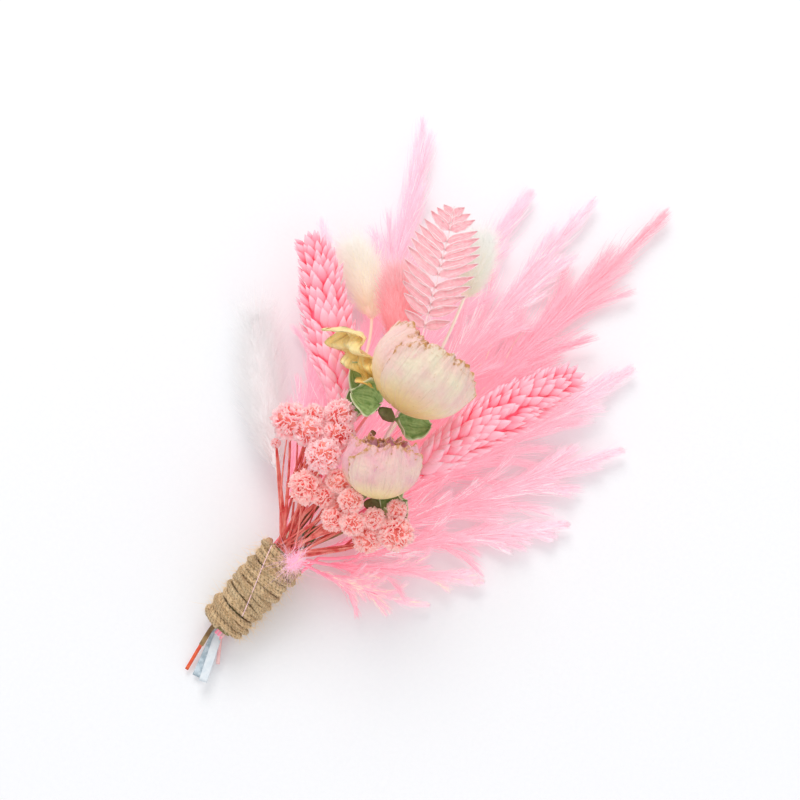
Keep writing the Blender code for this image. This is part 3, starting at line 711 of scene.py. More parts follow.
def blade_course(node, count=16):
    """Middle line of a leafy solid that stands alone: slices along its longest direction, root first."""
    points = node_points(node)
    centre = points.mean(axis=0)
    _, _, directions = np.linalg.svd(points - centre, full_matrices=False)
    along = (points - centre) @ directions[0]
    fits = [np.polyfit(along, points[:, axis], 3) for axis in range(3)]
    samples = np.linspace(along.min(), along.max(), count)
    line = np.stack([np.polyval(fit, samples) for fit in fits], axis=1)
    width = np.abs((points - centre) @ directions[1]).max()
    return line, width


def from_hip(line, hip):
    """The line turned so that it starts at the end nearer to the hip."""
    return line if np.linalg.norm(line[0] - hip) < np.linalg.norm(line[-1] - hip) else line[::-1]


def fern_surface(node, pairs=13, seed=5):
    """Pressed frond: narrow leaflets in pairs along a rib, longest below its middle, with curled tips."""
    rng = np.random.default_rng(seed)
    path, reach, under = course(node, 90)
    start = np.flatnonzero(reach > 1.6 * MM)[0]
    rib, widest = path[start - 1:], reach.max()
    tangent, across, upright = axes_along(rib)
    pieces = [tube(even(np.vstack((under, path)), 70), np.linspace(0.42, 0.1, 70) * MM,
                   np.linspace(0.3, 0.08, 70) * MM, 8, tone=0.0, edge=0.9, u=0.0)]
    for pair in range(pairs):
        share = (pair + 0.4) / pairs
        spot = int(share * (len(rib) - 1))
        size = widest * 1.12 * math.sin(math.pi * (0.16 + 0.80 * share)) ** 0.8
        for side in (-1.0, 1.0):
            out = unit(side * across[spot] + (0.34 + 0.3 * share) * tangent[spot])
            reach_t = np.linspace(0.0, 1.0, 12)[:, None]
            line = rib[spot] + size * reach_t * out + size * 0.10 * reach_t**2 * tangent[spot]
            line = line + size * rng.uniform(-0.06, 0.08) * reach_t**2 * upright[spot]
            half = widest * 0.155 * (0.75 + 0.25 * size / widest)
            pieces.append(blade(line, half, 0.25, rng.uniform(-0.2, 0.4), seed + 7 * pair, 14, 7,
                                rng.random(), 0.36, upright[spot]))
    pieces.append(blade(rib[-6:], widest * 0.07, 0.2, 0.0, seed, 10, 5, 0.5, 0.3, upright[-1]))
    return joined(pieces)


# ---------------------------------------------------------------- roses


class RoseFrame:
    """A rose's foot, axis, two directions across it, radius and height, read from its frame solids."""

    def __init__(self, rose):
        heart, hip = node_points(f"{rose}_heart"), node_points(f"{rose}_hip")
        petals = np.vstack([node_points(f"{rose}_petal_{number}") for number in range(1, 7)])
        self.hip = hip.mean(axis=0)
        self.axis = unit(heart.mean(axis=0) - self.hip)
        self.front = unit(UP - self.axis * self.axis[2])
        self.side = np.cross(self.axis, self.front)
        low = ((petals - self.hip) @ self.axis).min()
        self.foot = self.hip + self.axis * low
        self.height = ((petals - self.foot) @ self.axis).max()
        away = petals - self.foot
        self.radius = np.linalg.norm(away - (away @ self.axis)[:, None] * self.axis, axis=1).max()

    def turn_of(self, node):
        """Direction round the axis of a petal's middle; 0 faces the side and a quarter turn faces up."""
        middle = node_points(node).mean(axis=0) - self.foot
        return math.atan2(middle @ self.front, middle @ self.side)

    def place(self, turn, radius, height):
        """Points from cylinder coordinates round the rose's axis."""
        around = np.cos(turn)[..., None] * self.side + np.sin(turn)[..., None] * self.front
        return self.foot + radius[..., None] * around + height[..., None] * self.axis


def cup_petal(rose, turn, spread, size, rim_tilt, flare, seed, tone, rows=52, columns=57, lift=0.0):
    """One petal of a cup. Along v it follows a bowl, radius sin(tilt) and height 1 - cos(tilt); its top is a
    rounded arch, dry wrinkles run up it, and its rim rolls out by flare, frills and frays."""
    v = np.linspace(0.0, 1.0, rows)[:, None]
    u = np.linspace(-1.0, 1.0, columns)[None]
    fray = 0.014 * ripple(u * 2.0, 0.0 * v, 9, seed + 1)
    top = 1.0 - 0.30 * np.abs(u) ** 2.8 + fray * (1 - 0.4 * np.abs(u))
    reach = 0.08 + 0.92 * v * top
    foot_tilt = math.radians(8)
    tilt = foot_tilt + (rim_tilt - foot_tilt) * reach
    bowl = (1 - np.cos(tilt)) / (1 - math.cos(rim_tilt))
    wrinkle = ripple(u * 2.6, v * 1.3, 22, seed) * smoothstep(0.03, 0.45, v)
    roll = smoothstep(0.80, 1.0, v)
    frill = ripple(u * 4.0, v * 0.8, 9, seed + 2) * roll
    free = 0.03 * np.abs(u) ** 8 * smoothstep(0.15, 0.6, v)
    radius = rose.radius * (size * np.sin(tilt) + 0.014 * wrinkle + 0.028 * frill + free + flare * roll**1.5)
    height = rose.height * (0.98 * size + lift) * bowl
    height = height + rose.radius * (0.014 * wrinkle - 0.25 * flare * roll**2 + 0.03 * frill)
    narrow = 0.50 + 0.50 * smoothstep(0.0, 0.40, v)
    angle = turn + spread * narrow * u + 0.05 * ripple(u, v * 1.6, 5, seed + 3) * v
    edge = np.maximum(v * np.ones_like(u), np.abs(u) ** 5 * smoothstep(0.15, 0.6, v))
    return sheet(rose.place(angle, radius, height), edge=edge.ravel(), tone=tone)


def heart_petals(rose, seed, layers, first_turn, hollow):
    """Rolled inner petals: each layer is smaller and turned on from the last, and closes over the one inside
    it; hollow is the share of the radius that stays open in the middle."""
    rng = np.random.default_rng(seed)
    sheets = []
    for layer in range(layers):
        share = layer / max(layers - 1, 1)
        sheets.append(cup_petal(
            rose, first_turn + layer * math.radians(137), math.radians(86 - 10 * share),
            0.74 - (0.74 - hollow) * share, math.radians(140 - 34 * share), 0.02, seed + 10 * layer,
            rng.random(), 36, 35, 0.10 + (0.66 - hollow) * share))
    return joined(sheets)


# ---------------------------------------------------------------- fillers


def ball_places(node):
    """Centre and radius of each floret of a spray's solid, the largest first.

    Every face of a ball, moved back along its normal by the ball's radius, comes to the ball's centre. The
    radius and place where most faces meet is one ball; its faces are taken away, and so on."""
    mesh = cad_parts[node].data
    middles, normals = np.empty((2, len(mesh.polygons) * 3), np.float32)
    mesh.polygons.foreach_get("center", middles)
    mesh.polygons.foreach_get("normal", normals)
    middles, normals = middles.reshape(-1, 3).astype(float), normals.reshape(-1, 3).astype(float)
    radii = np.arange(0.9, 4.0, 0.1) * MM
    balls = []
    while True:
        best = (0, 0.0, None)
        for radius in radii:
            meeting = middles - radius * normals
            near = np.linalg.norm(meeting[:, None] - meeting[None], axis=2) < 0.09 * radius
            crowd = near.sum(axis=1)
            if crowd.max() > best[0]:
                best = (crowd.max(), radius, meeting[near[np.argmax(crowd)]].mean(axis=0))
        if best[0] < 26:
            return sorted(balls, key=lambda ball: -ball[1])
        balls.append((best[2], best[1] * 1.03))
        left = np.linalg.norm(middles - best[2], axis=1) > 1.12 * best[1]
        middles, normals = middles[left], normals[left]


def floret_petal(rows=5, columns=5):
    """Small ruffled petal, 1 long: narrow foot, broad wavy tip that leans out."""
    v = np.linspace(0.0, 1.0, rows)[:, None]
    u = np.linspace(-1.0, 1.0, columns)[None]
    across = (0.10 + 0.34 * v**0.8) * u * (1 - 0.25 * smoothstep(0.7, 1.0, v))
    notch = 0.10 * np.cos(2.5 * math.pi * u) * v**3
    lift = 0.16 * np.sin(2.2 * math.pi * u) * v**2 + 0.22 * v**2
    return sheet(np.stack((across, v + notch, lift), axis=-1), edge=0.0)


def floret(centre, radius, count, seed):
    """Small many-petalled head: petals stand on a ball in even spiral order, the inner ones more upright."""
    rng = np.random.default_rng(seed)
    rank = (np.arange(count) + 0.5) / count
    high = 1 - 1.72 * rank
    turn = np.arange(count) * math.radians(137.5)
    flat = np.sqrt(1 - high**2)
    outward = np.stack((flat * np.cos(turn), flat * np.sin(turn), high), axis=1)
    tilt = unit(rng.normal(0, 1, 3) * 0.45 + UP)
    side = unit(np.cross(tilt, (0.0, 1.0, 0.0)))
    outward = outward @ np.stack((side, np.cross(tilt, side), tilt))
    direction = unit(outward + rng.normal(0, 0.28, (count, 3)))
    face = unit(np.cross(direction, rng.normal(0, 1, (count, 3))))
    size = radius * rng.uniform(0.48, 0.72, count)
    frames = np.stack((np.cross(direction, face), direction, face), axis=1) * size[:, None, None]
    return copies(floret_petal(), frames, centre + outward * radius * 0.46, tone=rng.random(count))


def twig(centre, seed):
    """Thin stem from the top of the wrap to a floret: a quadratic curve that sags a little."""
    rng = np.random.default_rng(seed)
    across = unit(np.cross(HANDLE_DOWN, UP))
    aside, above = rng.uniform(-2.6, 2.6) * MM, rng.uniform(0.4, 2.8) * MM
    start = HANDLE_TOP + HANDLE_DOWN * 1.5 * MM + across * aside + UP * above
    end = centre + rng.normal(0, 0.7, 3) * MM
    middle = 0.5 * (start + end) + np.array((*rng.normal(0, 1.2, 2), rng.uniform(-2.5, 1.0))) * MM
    t = np.linspace(0.0, 1.0, 14)[:, None]
    path = (1 - t) ** 2 * start + 2 * t * (1 - t) * middle + t**2 * end
    radii = np.linspace(0.34, 0.17, 14) * MM * rng.uniform(0.7, 1.1)
    return tube(path, radii, radii, 6)


# ---------------------------------------------------------------- wrap


def cut_end(node, wide=None):
    """The end of a stalk that shows below the wrap, from inside the wrap to the cut: a flat creased strip if
    wide is given, else a stem."""
    _, _, under = course(node)
    path = even(np.vstack((under[0], under[-1], under[-1] - 2.5 * MM * HANDLE_DOWN)), 16)
    if wide is None:
        return tube(path, 0.45 * MM, np.linspace(0.18, 0.45, 16) * MM, 8)
    across = unit(np.cross(np.gradient(path, axis=0), UP))
    u = np.linspace(-1.0, 1.0, 9)[None]
    crease_shade = 0.16 * np.abs(np.abs(u) - 0.4) + 0.02 * np.sin(9 * u + path[:, :1] * 2500)
    points = path[:, None] + wide * (u[..., None] * across[:, None] + crease_shade[..., None] * UP)
    return sheet(points)


def wound_path(turns, steps, lift=0.0, start=0.02, end=0.98, phase=0.0, sway=0.0, seed=0):
    """Helix round the handle: distance down it grows evenly but for a random sway, and the radius follows
    the handle's taper."""
    side = unit(np.cross(HANDLE_DOWN, UP))
    front = np.cross(side, HANDLE_DOWN)
    front = front * np.sign(front[2])
    share = np.linspace(start, end, int(abs(turns) * steps))
    turn = 2 * math.pi * turns * np.linspace(0.0, 1.0, len(share)) + phase
    wander = ripple(turn / math.pi * 0.45, 0.0 * turn, 12, seed)
    taper = (HANDLE_BOTTOM_RADIUS - HANDLE_TOP_RADIUS) * share
    radius = HANDLE_TOP_RADIUS + taper + lift + sway * 4 * MM * wander
    fade = np.sin(math.pi * np.linspace(0, 1, len(share))) ** 0.3
    share = np.clip(share + sway * wander * fade, start, end)
    around = np.cos(turn)[:, None] * side + np.sin(turn)[:, None] * front
    return HANDLE_TOP + share[:, None] * HANDLE_LENGTH * HANDLE_DOWN + radius[:, None] * around, around


def twisted(path, radius, plies, pitch, sides=18, **values):
    """Yarn: a section of as many lobes as plies, which turns once in each pitch of length along the path."""
    gone = np.concatenate(([0.0], np.cumsum(np.linalg.norm(np.diff(path, axis=0), axis=1))))
    _, across, upright = axes_along(path)
    turn = 2 * math.pi * np.arange(sides) / sides
    twist = 2 * math.pi * gone[:, None] / pitch
    lobe = radius * (0.76 + 0.28 * np.abs(np.cos(plies / 2 * (turn - twist))))
    points = (path[:, None] + (lobe * np.cos(turn))[..., None] * across[:, None]
              - (lobe * np.sin(turn))[..., None] * upright[:, None])
    shell = tube(path, radius, radius, sides)
    # groove_shade marks where the plies meet, where the painted shade goes
    groove_shade = 1 - np.abs(np.cos(plies / 2 * (turn - twist)))
    along = np.broadcast_to(gone[:, None] / pitch, groove_shade.shape)
    return Surface(points, shell.faces, groove_shade=groove_shade.ravel(), u=np.tile(turn, len(path)), v=along.ravel(),
                   **values)


# ---------------------------------------------------------------- settings


def colour_setting(name, description, default):
    return FloatVectorProperty(name=name, description=description, default=default, subtype="COLOR",
                               size=3, min=0.0, max=1.0)


def length_setting(name, description, default):
    return FloatProperty(name=name, description=description, default=default, unit="LENGTH", min=0.0)


class PlumeSettings(bpy.types.PropertyGroup):
    wisps: IntProperty(name="Wisps", description="Wisps of hair on the widest plume", default=36, min=4)
    wisp_hairs: IntProperty(name="Hairs", description="Hairs in one wisp", default=125, min=10)
    root: colour_setting("Root colour", "Colour of a hair where it springs", (1.0, 0.24, 0.36))
    middle: colour_setting("Middle colour", "Colour of a hair half way", (1.0, 0.54, 0.63))
    tip: colour_setting("Tip colour", "Colour of a hair at its tip", (1.0, 0.77, 0.84))


class GrassSettings(bpy.types.PropertyGroup):
    scales: IntProperty(name="Scales", description="Scales on a canary grass head", default=270, min=20)
    scale_length: length_setting("Scale length", "Length of one scale", 0.0056)
    scale_foot: colour_setting("Scale foot", "Colour at a scale's foot", (0.98, 0.15, 0.24))
    scale_body: colour_setting("Scale body", "Colour of a scale's middle", (1.0, 0.34, 0.43))
    scale_tip: colour_setting("Scale tip", "Colour of a scale's tip", (1.0, 0.58, 0.66))
    tail_hairs: IntProperty(name="Tail hairs", description="Hairs on a bunny tail", default=4200, min=100)


class RoseSettings(bpy.types.PropertyGroup):
    thickness: length_setting("Petal thickness", "Thickness of a dry petal", 0.00025)
    foot: colour_setting("Foot colour", "Colour at the foot of a petal", (0.94, 0.66, 0.22))
    cream: colour_setting("Cream", "Main colour of the upper rose", (0.87, 0.74, 0.55))
    blush: colour_setting("Blush", "Blushed blotches of the upper rose", (0.90, 0.56, 0.52))
    rim: colour_setting("Dried rim", "Colour of a petal's dried rim", (0.60, 0.29, 0.09))
    sepal: colour_setting("Sepal", "Colour of the sepals", (0.16, 0.27, 0.07))


class FillerSettings(bpy.types.PropertyGroup):
    petals: IntProperty(name="Floret petals", description="Petals on one floret", default=185, min=10)
    # The foot colour is painted shade in the gaps deep inside a floret
    foot: colour_setting("Foot colour", "Colour deep inside a floret", (1.0, 0.13, 0.15))
    body: colour_setting("Body colour", "Colour of a floret", (1.0, 0.30, 0.33))
    tip: colour_setting("Tip colour", "Colour of a floret's outermost edges", (1.0, 0.62, 0.58))


class WrapSettings(bpy.types.PropertyGroup):
    turns: IntProperty(name="Turns", description="Turns of jute twine", default=13, min=1)
    twine_radius: length_setting("Twine radius", "Half the twine's thickness", 0.00098)
    fibres: IntProperty(name="Fibres", description="Loose fibres on the twine", default=2600, min=0)
    jute: colour_setting("Jute", "Colour of the twine", (0.60, 0.37, 0.17))
    # groove_shade is the colour of the painted shade between the plies
    groove_shade: colour_setting("Groove", "Colour between the plies", (0.22, 0.12, 0.05))


class StageSettings(bpy.types.PropertyGroup):
    azimuth: FloatProperty(name="Azimuth", description="Direction that the camera looks from",
                           default=math.radians(43), subtype="ANGLE")
    elevation: FloatProperty(name="Elevation", description="Camera's height above the horizon",
                             default=math.radians(75), subtype="ANGLE")
    distance: length_setting("Distance", "From the camera to what it looks at", 0.3889)
    target: FloatVectorProperty(name="Target", description="What the camera looks at",
                                default=(0.0003, -0.0029, 0.0150), subtype="TRANSLATION", unit="LENGTH")


# ---------------------------------------------------------------- operators


def settings(context, name):
    return getattr(context.scene, f"boutonniere_{name}")


class BOUTONNIERE_OT_plumes(bpy.types.Operator):
    """Silky dyed plumes in the lowest layer"""

    bl_idname = "boutonniere.plumes"
    bl_label = "Plumes"

    def execute(self, context):
        chosen = settings(context, "plumes")
        colours = [tuple(chosen.root), tuple(chosen.middle), tuple(chosen.tip)]
        white = (1.0, 0.93, 0.95)
        dyed = hair_material("silky pink plume", *colours, white, 0.16)
        pale = hair_material("pale pink plume", (1.0, 0.40, 0.52), (1.0, 0.58, 0.69), (1.0, 0.74, 0.82),
                             white, 0.16)
        salmon = hair_material("salmon plume", (0.98, 0.26, 0.34), (1.0, 0.50, 0.60), (0.98, 0.60, 0.66))
        straw = hair_material("straw-flecked plume", *colours, (1.0, 0.88, 0.72), 0.16)
        finishes = {"plume_top": pale, "plume_upper_left": pale, "plume_far_left": pale,
                    "plume_upper_right": salmon, "plume_low_right": straw, "plume_low": straw}
        nodes = sorted(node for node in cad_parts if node.startswith("plume_"))
        for number, node in enumerate(nodes):
            fullness = 0.5 + 0.5 * course(node)[1].max() / (6.5 * MM)
            surface = plume(node, int(chosen.wisps * fullness), chosen.wisp_hairs, 11 + number)
            add_piece(f"{node}_hairs", surface, finishes.get(node, dyed), [node])
        return {"FINISHED"}


class BOUTONNIERE_OT_grasses(bpy.types.Operator):
    """Canary grass heads and bunny tails in the middle layer"""

    bl_idname = "boutonniere.grasses"
    bl_label = "Grass heads"

    def execute(self, context):
        chosen = settings(context, "grasses")
        scales = scale_material("dyed scales", chosen.scale_foot, chosen.scale_body, chosen.scale_tip)
        for number, node in enumerate(("canary_grass_left", "canary_grass_right")):
            surface = scaly_head(node, chosen.scales, chosen.scale_length, 31 + number)
            add_piece(f"{node}_head", surface, scales, [node], 0.12 * MM)
        # tail: slot, colours of a hair's root, middle and tip, and the hairs' length in millimetres
        tails = {
            "bunny_tail_white": ("white_grass", (0.90, 0.82, 0.82), (0.92, 0.90, 0.90),
                                 (0.94, 0.93, 0.93), 9.0),
            "bunny_tail_cream": ("cream_grass", (1.0, 0.84, 0.64), (1.0, 0.93, 0.82),
                                 (1.0, 0.96, 0.90), 7.0),
            "bunny_tail_pink": ("salmon_grass", (1.0, 0.34, 0.36), (1.0, 0.50, 0.52),
                                (1.0, 0.66, 0.68), 6.0),
            "bunny_tail_small": ("cream_grass", (0.90, 0.88, 0.72), (0.94, 0.93, 0.84),
                                 (0.96, 0.95, 0.92), 6.0),
        }
        for number, (node, (slot, root, middle, tip, length)) in enumerate(tails.items()):
            fur = hair_material(f"{node} fur", root, middle, tip, tip, 0.0, 0.15)
            surface = tail(node, chosen.tail_hairs, length * MM, 51 + number)
            add_piece(f"{node}_fur", surface, fur, [node])
        return {"FINISHED"}


class BOUTONNIERE_OT_fern(bpy.types.Operator):
    """Pressed fern frond and the small green leaf"""

    bl_idname = "boutonniere.fern"
    bl_label = "Fern and leaf"

    def execute(self, context):
        pink = leaf_material("pressed pink frond", (0.98, 0.60, 0.62), (0.95, 0.38, 0.43), (1.0, 0.84, 0.84))
        add_piece("fern_frond", fern_surface("fern"), pink, ["fern"], 0.16 * MM)
        green = leaf_material("dark dry leaf", (0.16, 0.22, 0.06), (0.05, 0.09, 0.02), (0.20, 0.24, 0.10))
        path, _, under = course("green_leaf")
        leaf = stalk_tube(path[: len(path) // 2], under, 0.35 * MM)
        leaf = leaf + blade(path[len(path) // 3:], 1.6 * MM, 0.3, 0.4, 3, 20, 9)
        add_piece("green_leaf_blade", leaf, green, ["green_leaf"], 0.14 * MM)
        return {"FINISHED"}


class BOUTONNIERE_OT_roses(bpy.types.Operator):
    """Two dried roses: outer petals, rolled heart, curled petal and sepals"""

    bl_idname = "boutonniere.roses"
    bl_label = "Roses"

    def execute(self, context):
        chosen = settings(context, "roses")
        foot, cream, blush, rim = chosen.foot, chosen.cream, chosen.blush, chosen.rim
        cream_outer = petal_material("cream petal", foot, cream, blush, rim)
        cream_inner = petal_material("blushed cream petal", foot, (0.92, 0.68, 0.55), blush, rim)
        lilac_outer = petal_material("cream-lilac petal", (0.95, 0.72, 0.30), (0.92, 0.66, 0.54),
                                     (0.90, 0.42, 0.50), rim)
        lilac_inner = petal_material("lilac-pink petal", (0.95, 0.60, 0.40), (0.96, 0.62, 0.66),
                                     (0.90, 0.44, 0.54), rim)
        # rose: outer and inner finish, slot, tilt of the rims in degrees, how far they roll out, direction of
        # the front petal in degrees, and the share of the radius that stays open
        finishes = {
            "rose_upper": (cream_outer, cream_inner, "cream_petal", 134, 0.06, 80, 0.16),
            "rose_lower": (lilac_outer, lilac_inner, "blush_petal", 138, 0.08, 60, 0.30),
        }
        leaf = leaf_material("dry sepal", (0.36, 0.48, 0.18), chosen.sepal, (0.78, 0.76, 0.52), 8.0)
        bark = mottled_material("dry rose stem", (0.42, 0.28, 0.13), (0.22, 0.13, 0.06), (0.10, 0.05, 0.02),
                                400.0, 0.4)
        hip_skin = mottled_material("dry rose hip", (0.24, 0.27, 0.10), (0.16, 0.14, 0.06),
                                    (0.32, 0.16, 0.12), 300.0, 0.5)
        for rose, (outer, inner, slot, rim_tilt, flare, front, hollow) in finishes.items():
            place = RoseFrame(rose)
            seed = 100 if rose == "rose_upper" else 200
            petals = [f"{rose}_petal_{number}" for number in range(1, 7)]
            turns = {node: place.turn_of(node) for node in petals}
            away = {node: abs(math.remainder(turn - math.radians(front), 2 * math.pi))
                    for node, turn in turns.items()}
            for rank, node in enumerate(sorted(turns, key=away.get)):
                spread, shift = FRONT_PETAL if rank == 0 else (66 + 3 * rank, 0)
                size = 1.0 - 0.042 * rank - 0.014 * (rank > 0)
                petal = cup_petal(place, turns[node] + math.radians(shift), math.radians(spread), size,
                                  math.radians(rim_tilt + 2 * rank), flare * (1.0 - 0.12 * rank),
                                  seed + 17 * rank, (rank * 0.37) % 1.0)
                finish = inner if rank % 2 else outer
                add_piece(f"{node}_sheet", petal, finish, [node], chosen.thickness)
            hearts = heart_petals(place, seed + 5, 8, 0.6, hollow)
            add_piece(f"{rose}_heart_petals", hearts, inner, [f"{rose}_heart"], chosen.thickness)
            sepals = sorted(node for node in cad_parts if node.startswith(f"{rose}_sepal_"))
            for number, node in enumerate(sepals):
                line, width = blade_course(node)
                sepal = blade(from_hip(line, place.hip), width * 2.3, 0.45, 0.5 - 0.3 * number, seed + number)
                add_piece(f"{node}_leaf", sepal, leaf, [node], 0.2 * MM)
            for part, finish in (("stem", bark), ("hip", hip_skin)):
                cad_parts[f"{rose}_{part}"].data.materials[0] = finish
        place = RoseFrame("rose_upper")
        yellow = petal_material("curled yellow petal", (0.96, 0.62, 0.12), (1.0, 0.90, 0.52),
                                (1.0, 0.74, 0.30), rim)
        line, width = blade_course("rose_upper_curled_petal")
        curled = blade(from_hip(line, place.hip), width * 1.1, 0.6, 0.5, seed=9, rows=60, columns=31,
                       tone=0.4, fullest=0.62, twist=1.3, wave=0.42, waist=0.5)
        add_piece("rose_upper_curled_petal_sheet", curled, yellow, ["rose_upper_curled_petal"],
                  chosen.thickness)
        return {"FINISHED"}


class BOUTONNIERE_OT_fillers(bpy.types.Operator):
    """Small many-petalled florets on thin branches"""

    bl_idname = "boutonniere.fillers"
    bl_label = "Fillers"

    def execute(self, context):
        chosen = settings(context, "fillers")
        coral = scale_material("coral floret", chosen.foot, chosen.body, chosen.tip)
        pink = scale_material("pink floret", (0.95, 0.16, 0.24), (1.0, 0.36, 0.44), (1.0, 0.66, 0.66))
        branch = mottled_material("red branch", (0.95, 0.32, 0.26), (0.78, 0.10, 0.09), (0.95, 0.66, 0.42),
                                  300.0, 0.35)
        for number, spray in enumerate(("left", "middle", "inner", "right")):
            node = f"filler_{spray}"
            balls = ball_places(node)
            heads = joined(floret(centre, radius * 1.12, chosen.petals, 70 + 9 * number + rank)
                           for rank, (centre, radius) in enumerate(balls))
            finish = pink if spray == "left" else coral
            add_piece(f"{node}_florets", heads, finish, [], 0.1 * MM)
            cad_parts[node].data.materials[0] = branch
            twigs = joined(twig(centre, 500 + 20 * number + rank)
                           for rank, (centre, _) in enumerate(balls * TWIGS_PER_FLORET))
            add_piece(f"{node}_twigs", twigs, branch, [])
        return {"FINISHED"}


def jute_material(jute, groove_shade_colour):
    """Twisted plies with fibres along them, with painted shade where the plies meet."""
    material, tree, shader = shader_material("jute", 0.85, sheen=0.15)
    place = add_node(tree, "ShaderNodeCombineXYZ", {"X": value_of(tree, "u"), "Y": value_of(tree, "v")})
    fibre = noise(tree, 1.0, 5.0, stretch=(5.0, 1.0, 1.0), vector=place.outputs["Vector"])
    patches = noise(tree, 250.0, 4.0)
    worn = maths(tree, "ADD", fibre, maths(tree, "MULTIPLY", patches, 0.5))
    colour = mixed(tree, ranged(tree, worn, 0.55, 0.95), opaque(jute), (0.98, 0.74, 0.44, 1.0))
    # Painted shade in the grooves between the plies
    shade = ranged(tree, value_of(tree, "groove_shade"), 0.35, 0.9, 0.0, 0.9)
    colour = mixed(tree, shade, colour, opaque(groove_shade_colour))
    tree.links.new(colour, shader.inputs["Base Color"])
    bump(tree, shader, fibre, 1.0, 0.6 * MM)
    return material


def twine_fibres(rng, path, around, radius, count):
    """Loose fibres that spring from the twine, most along it and some away from the handle."""
    spots = rng.integers(0, len(path), count)
    tangent = unit(np.gradient(path, axis=0))[spots]
    size = rng.uniform(0.6, 3.4, count) * MM * rng.choice((0.6, 1.0, 1.6), count)
    forward = tangent * rng.uniform(0.4, 1.0, (count, 1)) * np.sign(rng.normal(0, 1, (count, 1)))
    outward = around[spots] * rng.uniform(0.0, 0.6, (count, 1)) ** 2.0
    spans = unit(forward + outward + rng.normal(0, 0.2, (count, 3))) * size[:, None]
    bends = rng.normal(0, 0.30, (count, 3)) * size[:, None]
    return on_floor(hairs(path[spots] + around[spots] * radius * 0.8, spans, bends, 0.045 * MM, 3,
                          tone=rng.random(count), head=0.5))


def wrap_fluff(rng, radius, count=320):
    """Tuft of plume hairs caught at the top of the twine, and one pale thread across its turns."""
    side = unit(np.cross(HANDLE_DOWN, UP))
    roots = (HANDLE_TOP + HANDLE_TOP_RADIUS * (0.80 * UP - 0.55 * side) + HANDLE_DOWN * 1.0 * MM
             + rng.normal(0, 0.9, (count, 3)) * MM)
    size = rng.uniform(2.0, 7.0, count)[:, None] * MM
    heading = rng.normal(0, 0.5, (count, 3)) + 0.35 * UP + rng.choice((-0.7, 0.9), (count, 1)) * HANDLE_DOWN
    spans = unit(heading) * size
    fluff = hairs(roots, spans, rng.normal(0, 0.35, (count, 3)) * size, 0.05 * MM, 4,
                  tone=rng.random(count), head=0.5)
    thread, _ = wound_path(0.16, 200, 0.5 * radius, 0.02, 0.72, 1.1)
    return fluff + tube(thread, 0.07 * MM, 0.07 * MM, 6, along=1.0, tone=0.5, head=0.5)


class BOUTONNIERE_OT_wrap(bpy.types.Operator):
    """Jute twine with its loose fibres, the tape under it, and the cut ends of the stalks"""

    bl_idname = "boutonniere.wrap"
    bl_label = "Wrap"

    def execute(self, context):
        chosen = settings(context, "wrap")
        radius = chosen.twine_radius
        margin = radius / HANDLE_LENGTH
        path, around = wound_path(chosen.turns, 64, -radius, margin, 1 - margin, 0.0, 0.006, 3)
        yarn = twisted(path, radius, 3, 3.4 * MM, tone=0.5)
        # turns that cross the others: how many, the shares of the handle where they start and end, and the
        # angle that they start at
        crossings = ((1.6, 0.10, 0.88, 2.2), (-2.5, 0.04, 0.60, 1.0), (3.2, 0.45, 0.96, 0.4))
        for turns, start, end, phase in crossings:
            crossing, _ = wound_path(turns, 90, -0.1 * radius, start, end, phase, 0.01, 8)
            yarn = yarn + twisted(crossing, 0.7 * radius, 3, 2.6 * MM, tone=0.6)
        add_piece("twine_yarn", yarn, jute_material(chosen.jute, chosen.groove_shade), ["twine"])
        rng = np.random.default_rng(4)
        pale = hair_material("jute fibre", (0.66, 0.44, 0.22), (0.80, 0.58, 0.34), (0.92, 0.76, 0.54))
        fuzz = twine_fibres(rng, path, around, radius, chosen.fibres)
        add_piece("twine_fibres", fuzz, pale, [])
        pink = hair_material("pink fluff", (1.0, 0.45, 0.62), (1.0, 0.60, 0.76), (1.0, 0.78, 0.88))
        add_piece("wrap_fluff", wrap_fluff(rng, radius), pink, [])
        strip = 1.05 * MM
        # stalk: half-width of its strip, name, pale, deep and spot colour, scale, share of spots, roughness
        ends = {
            "plume_far_left": (None, "red cut stem", (0.90, 0.16, 0.06), (0.75, 0.10, 0.05),
                               (1.0, 0.45, 0.25), 600.0, 0.5, 0.8),
            # Both strips are white stems; the blue-grey in their colours is a painted reflection, strongest
            # on the first
            "plume_upper_middle": (strip, "white strip with painted blue reflection", (0.66, 0.76, 0.82), (0.42, 0.52, 0.58),
                                   (0.92, 0.95, 0.97), 700.0, 0.8, 0.3),
            "plume_right_high": (strip, "white strip", (0.86, 0.90, 0.93), (0.74, 0.81, 0.86),
                                 (0.97, 0.97, 0.98), 500.0, 0.5, 0.4),
            "plume_right_middle": (None, "pale pink stem", (0.96, 0.62, 0.60), (0.92, 0.48, 0.48),
                                   (1.0, 0.8, 0.75), 500.0, 0.3, 0.8),
        }
        for node, (wide, *finish) in ends.items():
            thickness = 0.3 * MM if wide else 0.0
            add_piece(f"{node}_cut_end", cut_end(node, wide), mottled_material(*finish), [],
                      thickness)
        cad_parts["floral_tape"].data.materials[0] = mottled_material(
            "floral tape", (0.36, 0.30, 0.14), (0.26, 0.22, 0.10), (0.45, 0.38, 0.22), 500.0, 0.4)
        return {"FINISHED"}


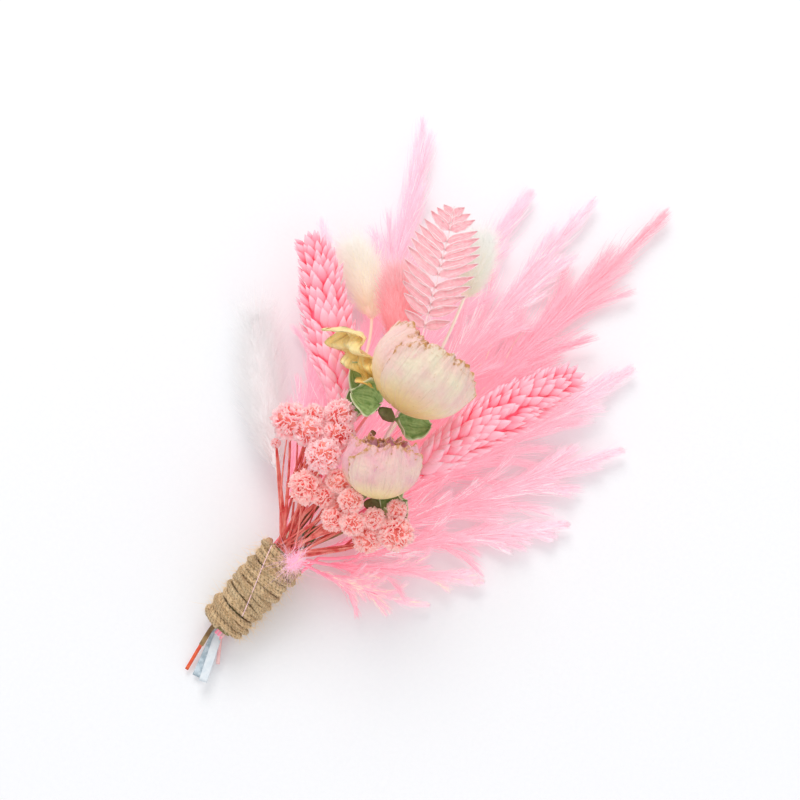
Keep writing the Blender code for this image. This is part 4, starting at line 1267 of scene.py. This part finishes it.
class BOUTONNIERE_OT_stage(bpy.types.Operator):
    """Pale floor, soft studio light and the camera"""

    bl_idname = "boutonniere.stage"
    bl_label = "Stage"

    def execute(self, context):
        chosen = settings(context, "stage")
        scene = context.scene
        half = 3.0
        floor_mesh = bpy.data.meshes.new("floor")
        level = cad_low[2]
        floor_mesh.from_pydata([(-half, -half, level), (half, -half, level), (half, half, level),
                                (-half, half, level)], [], [(0, 1, 2, 3)])
        floor = bpy.data.objects.new("floor", floor_mesh)
        scene.collection.objects.link(floor)
        material, tree, shader = shader_material("pale floor", 0.7)
        grain = noise(tree, 900.0, 3.0)
        pale = mixed(tree, grain, (0.93, 0.93, 0.945, 1), (0.97, 0.97, 0.975, 1))
        tree.links.new(pale, shader.inputs["Base Color"])
        bump(tree, shader, grain, 0.15, 0.3 * MM)
        floor_mesh.materials.append(material)
        world = bpy.data.worlds.new("studio")
        world.use_nodes = True
        background = world.node_tree.nodes["Background"]
        background.inputs["Color"].default_value = (0.97, 0.98, 1.0, 1.0)
        background.inputs["Strength"].default_value = 0.80
        scene.world = world
        target = Vector(chosen.target)
        lamps = (("window", (-0.7, 0.6, 0.9), 0.7, 6.0), ("fill", (0.8, -0.3, 0.7), 0.8, 1.0))
        for name, spot, size, power in lamps:
            light = bpy.data.lights.new(name, "AREA")
            light.size = size
            light.energy = power
            lamp = bpy.data.objects.new(name, light)
            lamp.location = spot
            lamp.rotation_euler = (target - lamp.location).to_track_quat("-Z", "Y").to_euler()
            scene.collection.objects.link(lamp)
        outward = math.cos(chosen.elevation)
        back = Vector((math.sin(chosen.azimuth) * outward, -math.cos(chosen.azimuth) * outward,
                       math.sin(chosen.elevation)))
        camera = bpy.data.objects.new("camera", bpy.data.cameras.new("camera"))
        camera.data.lens = 70.0
        camera.data.sensor_width = 36.0
        camera.data.clip_start = 0.01
        camera.location = target + back * chosen.distance
        camera.rotation_euler = (-back).to_track_quat("-Z", "Y").to_euler()
        scene.collection.objects.link(camera)
        scene.camera = camera
        scene.view_settings.view_transform = "Standard"
        return {"FINISHED"}


class BOUTONNIERE_PT_panel(bpy.types.Panel):
    """Lists the pieces and the stage, each with its settings"""

    bl_label = "Boutonniere"
    bl_idname = "BOUTONNIERE_PT_panel"
    bl_space_type = "VIEW_3D"
    bl_region_type = "UI"
    bl_category = "Boutonniere"

    def draw(self, context):
        for name, group in SETTINGS.items():
            box = self.layout.box()
            box.operator(f"boutonniere.{name}")
            for key in group.__annotations__:
                box.prop(settings(context, name), key)
        self.layout.operator("boutonniere.fern")


SETTINGS = {"stage": StageSettings, "plumes": PlumeSettings, "grasses": GrassSettings, "roses": RoseSettings,
            "fillers": FillerSettings, "wrap": WrapSettings}
ORDER = ("stage", "plumes", "grasses", "fern", "roses", "fillers", "wrap")
CLASSES = (*SETTINGS.values(), BOUTONNIERE_OT_stage, BOUTONNIERE_OT_plumes, BOUTONNIERE_OT_grasses,
           BOUTONNIERE_OT_fern, BOUTONNIERE_OT_roses, BOUTONNIERE_OT_fillers, BOUTONNIERE_OT_wrap,
           BOUTONNIERE_PT_panel)


def register():
    for kind in CLASSES:
        bpy.utils.register_class(kind)
    for name, group in SETTINGS.items():
        setattr(bpy.types.Scene, f"boutonniere_{name}", PointerProperty(type=group))


def unregister():
    for name in SETTINGS:
        delattr(bpy.types.Scene, f"boutonniere_{name}")
    for kind in reversed(CLASSES):
        bpy.utils.unregister_class(kind)


def main():
    register()
    for name in ORDER:
        getattr(bpy.ops.boutonniere, name)()


if __name__ == "__main__":
    main()
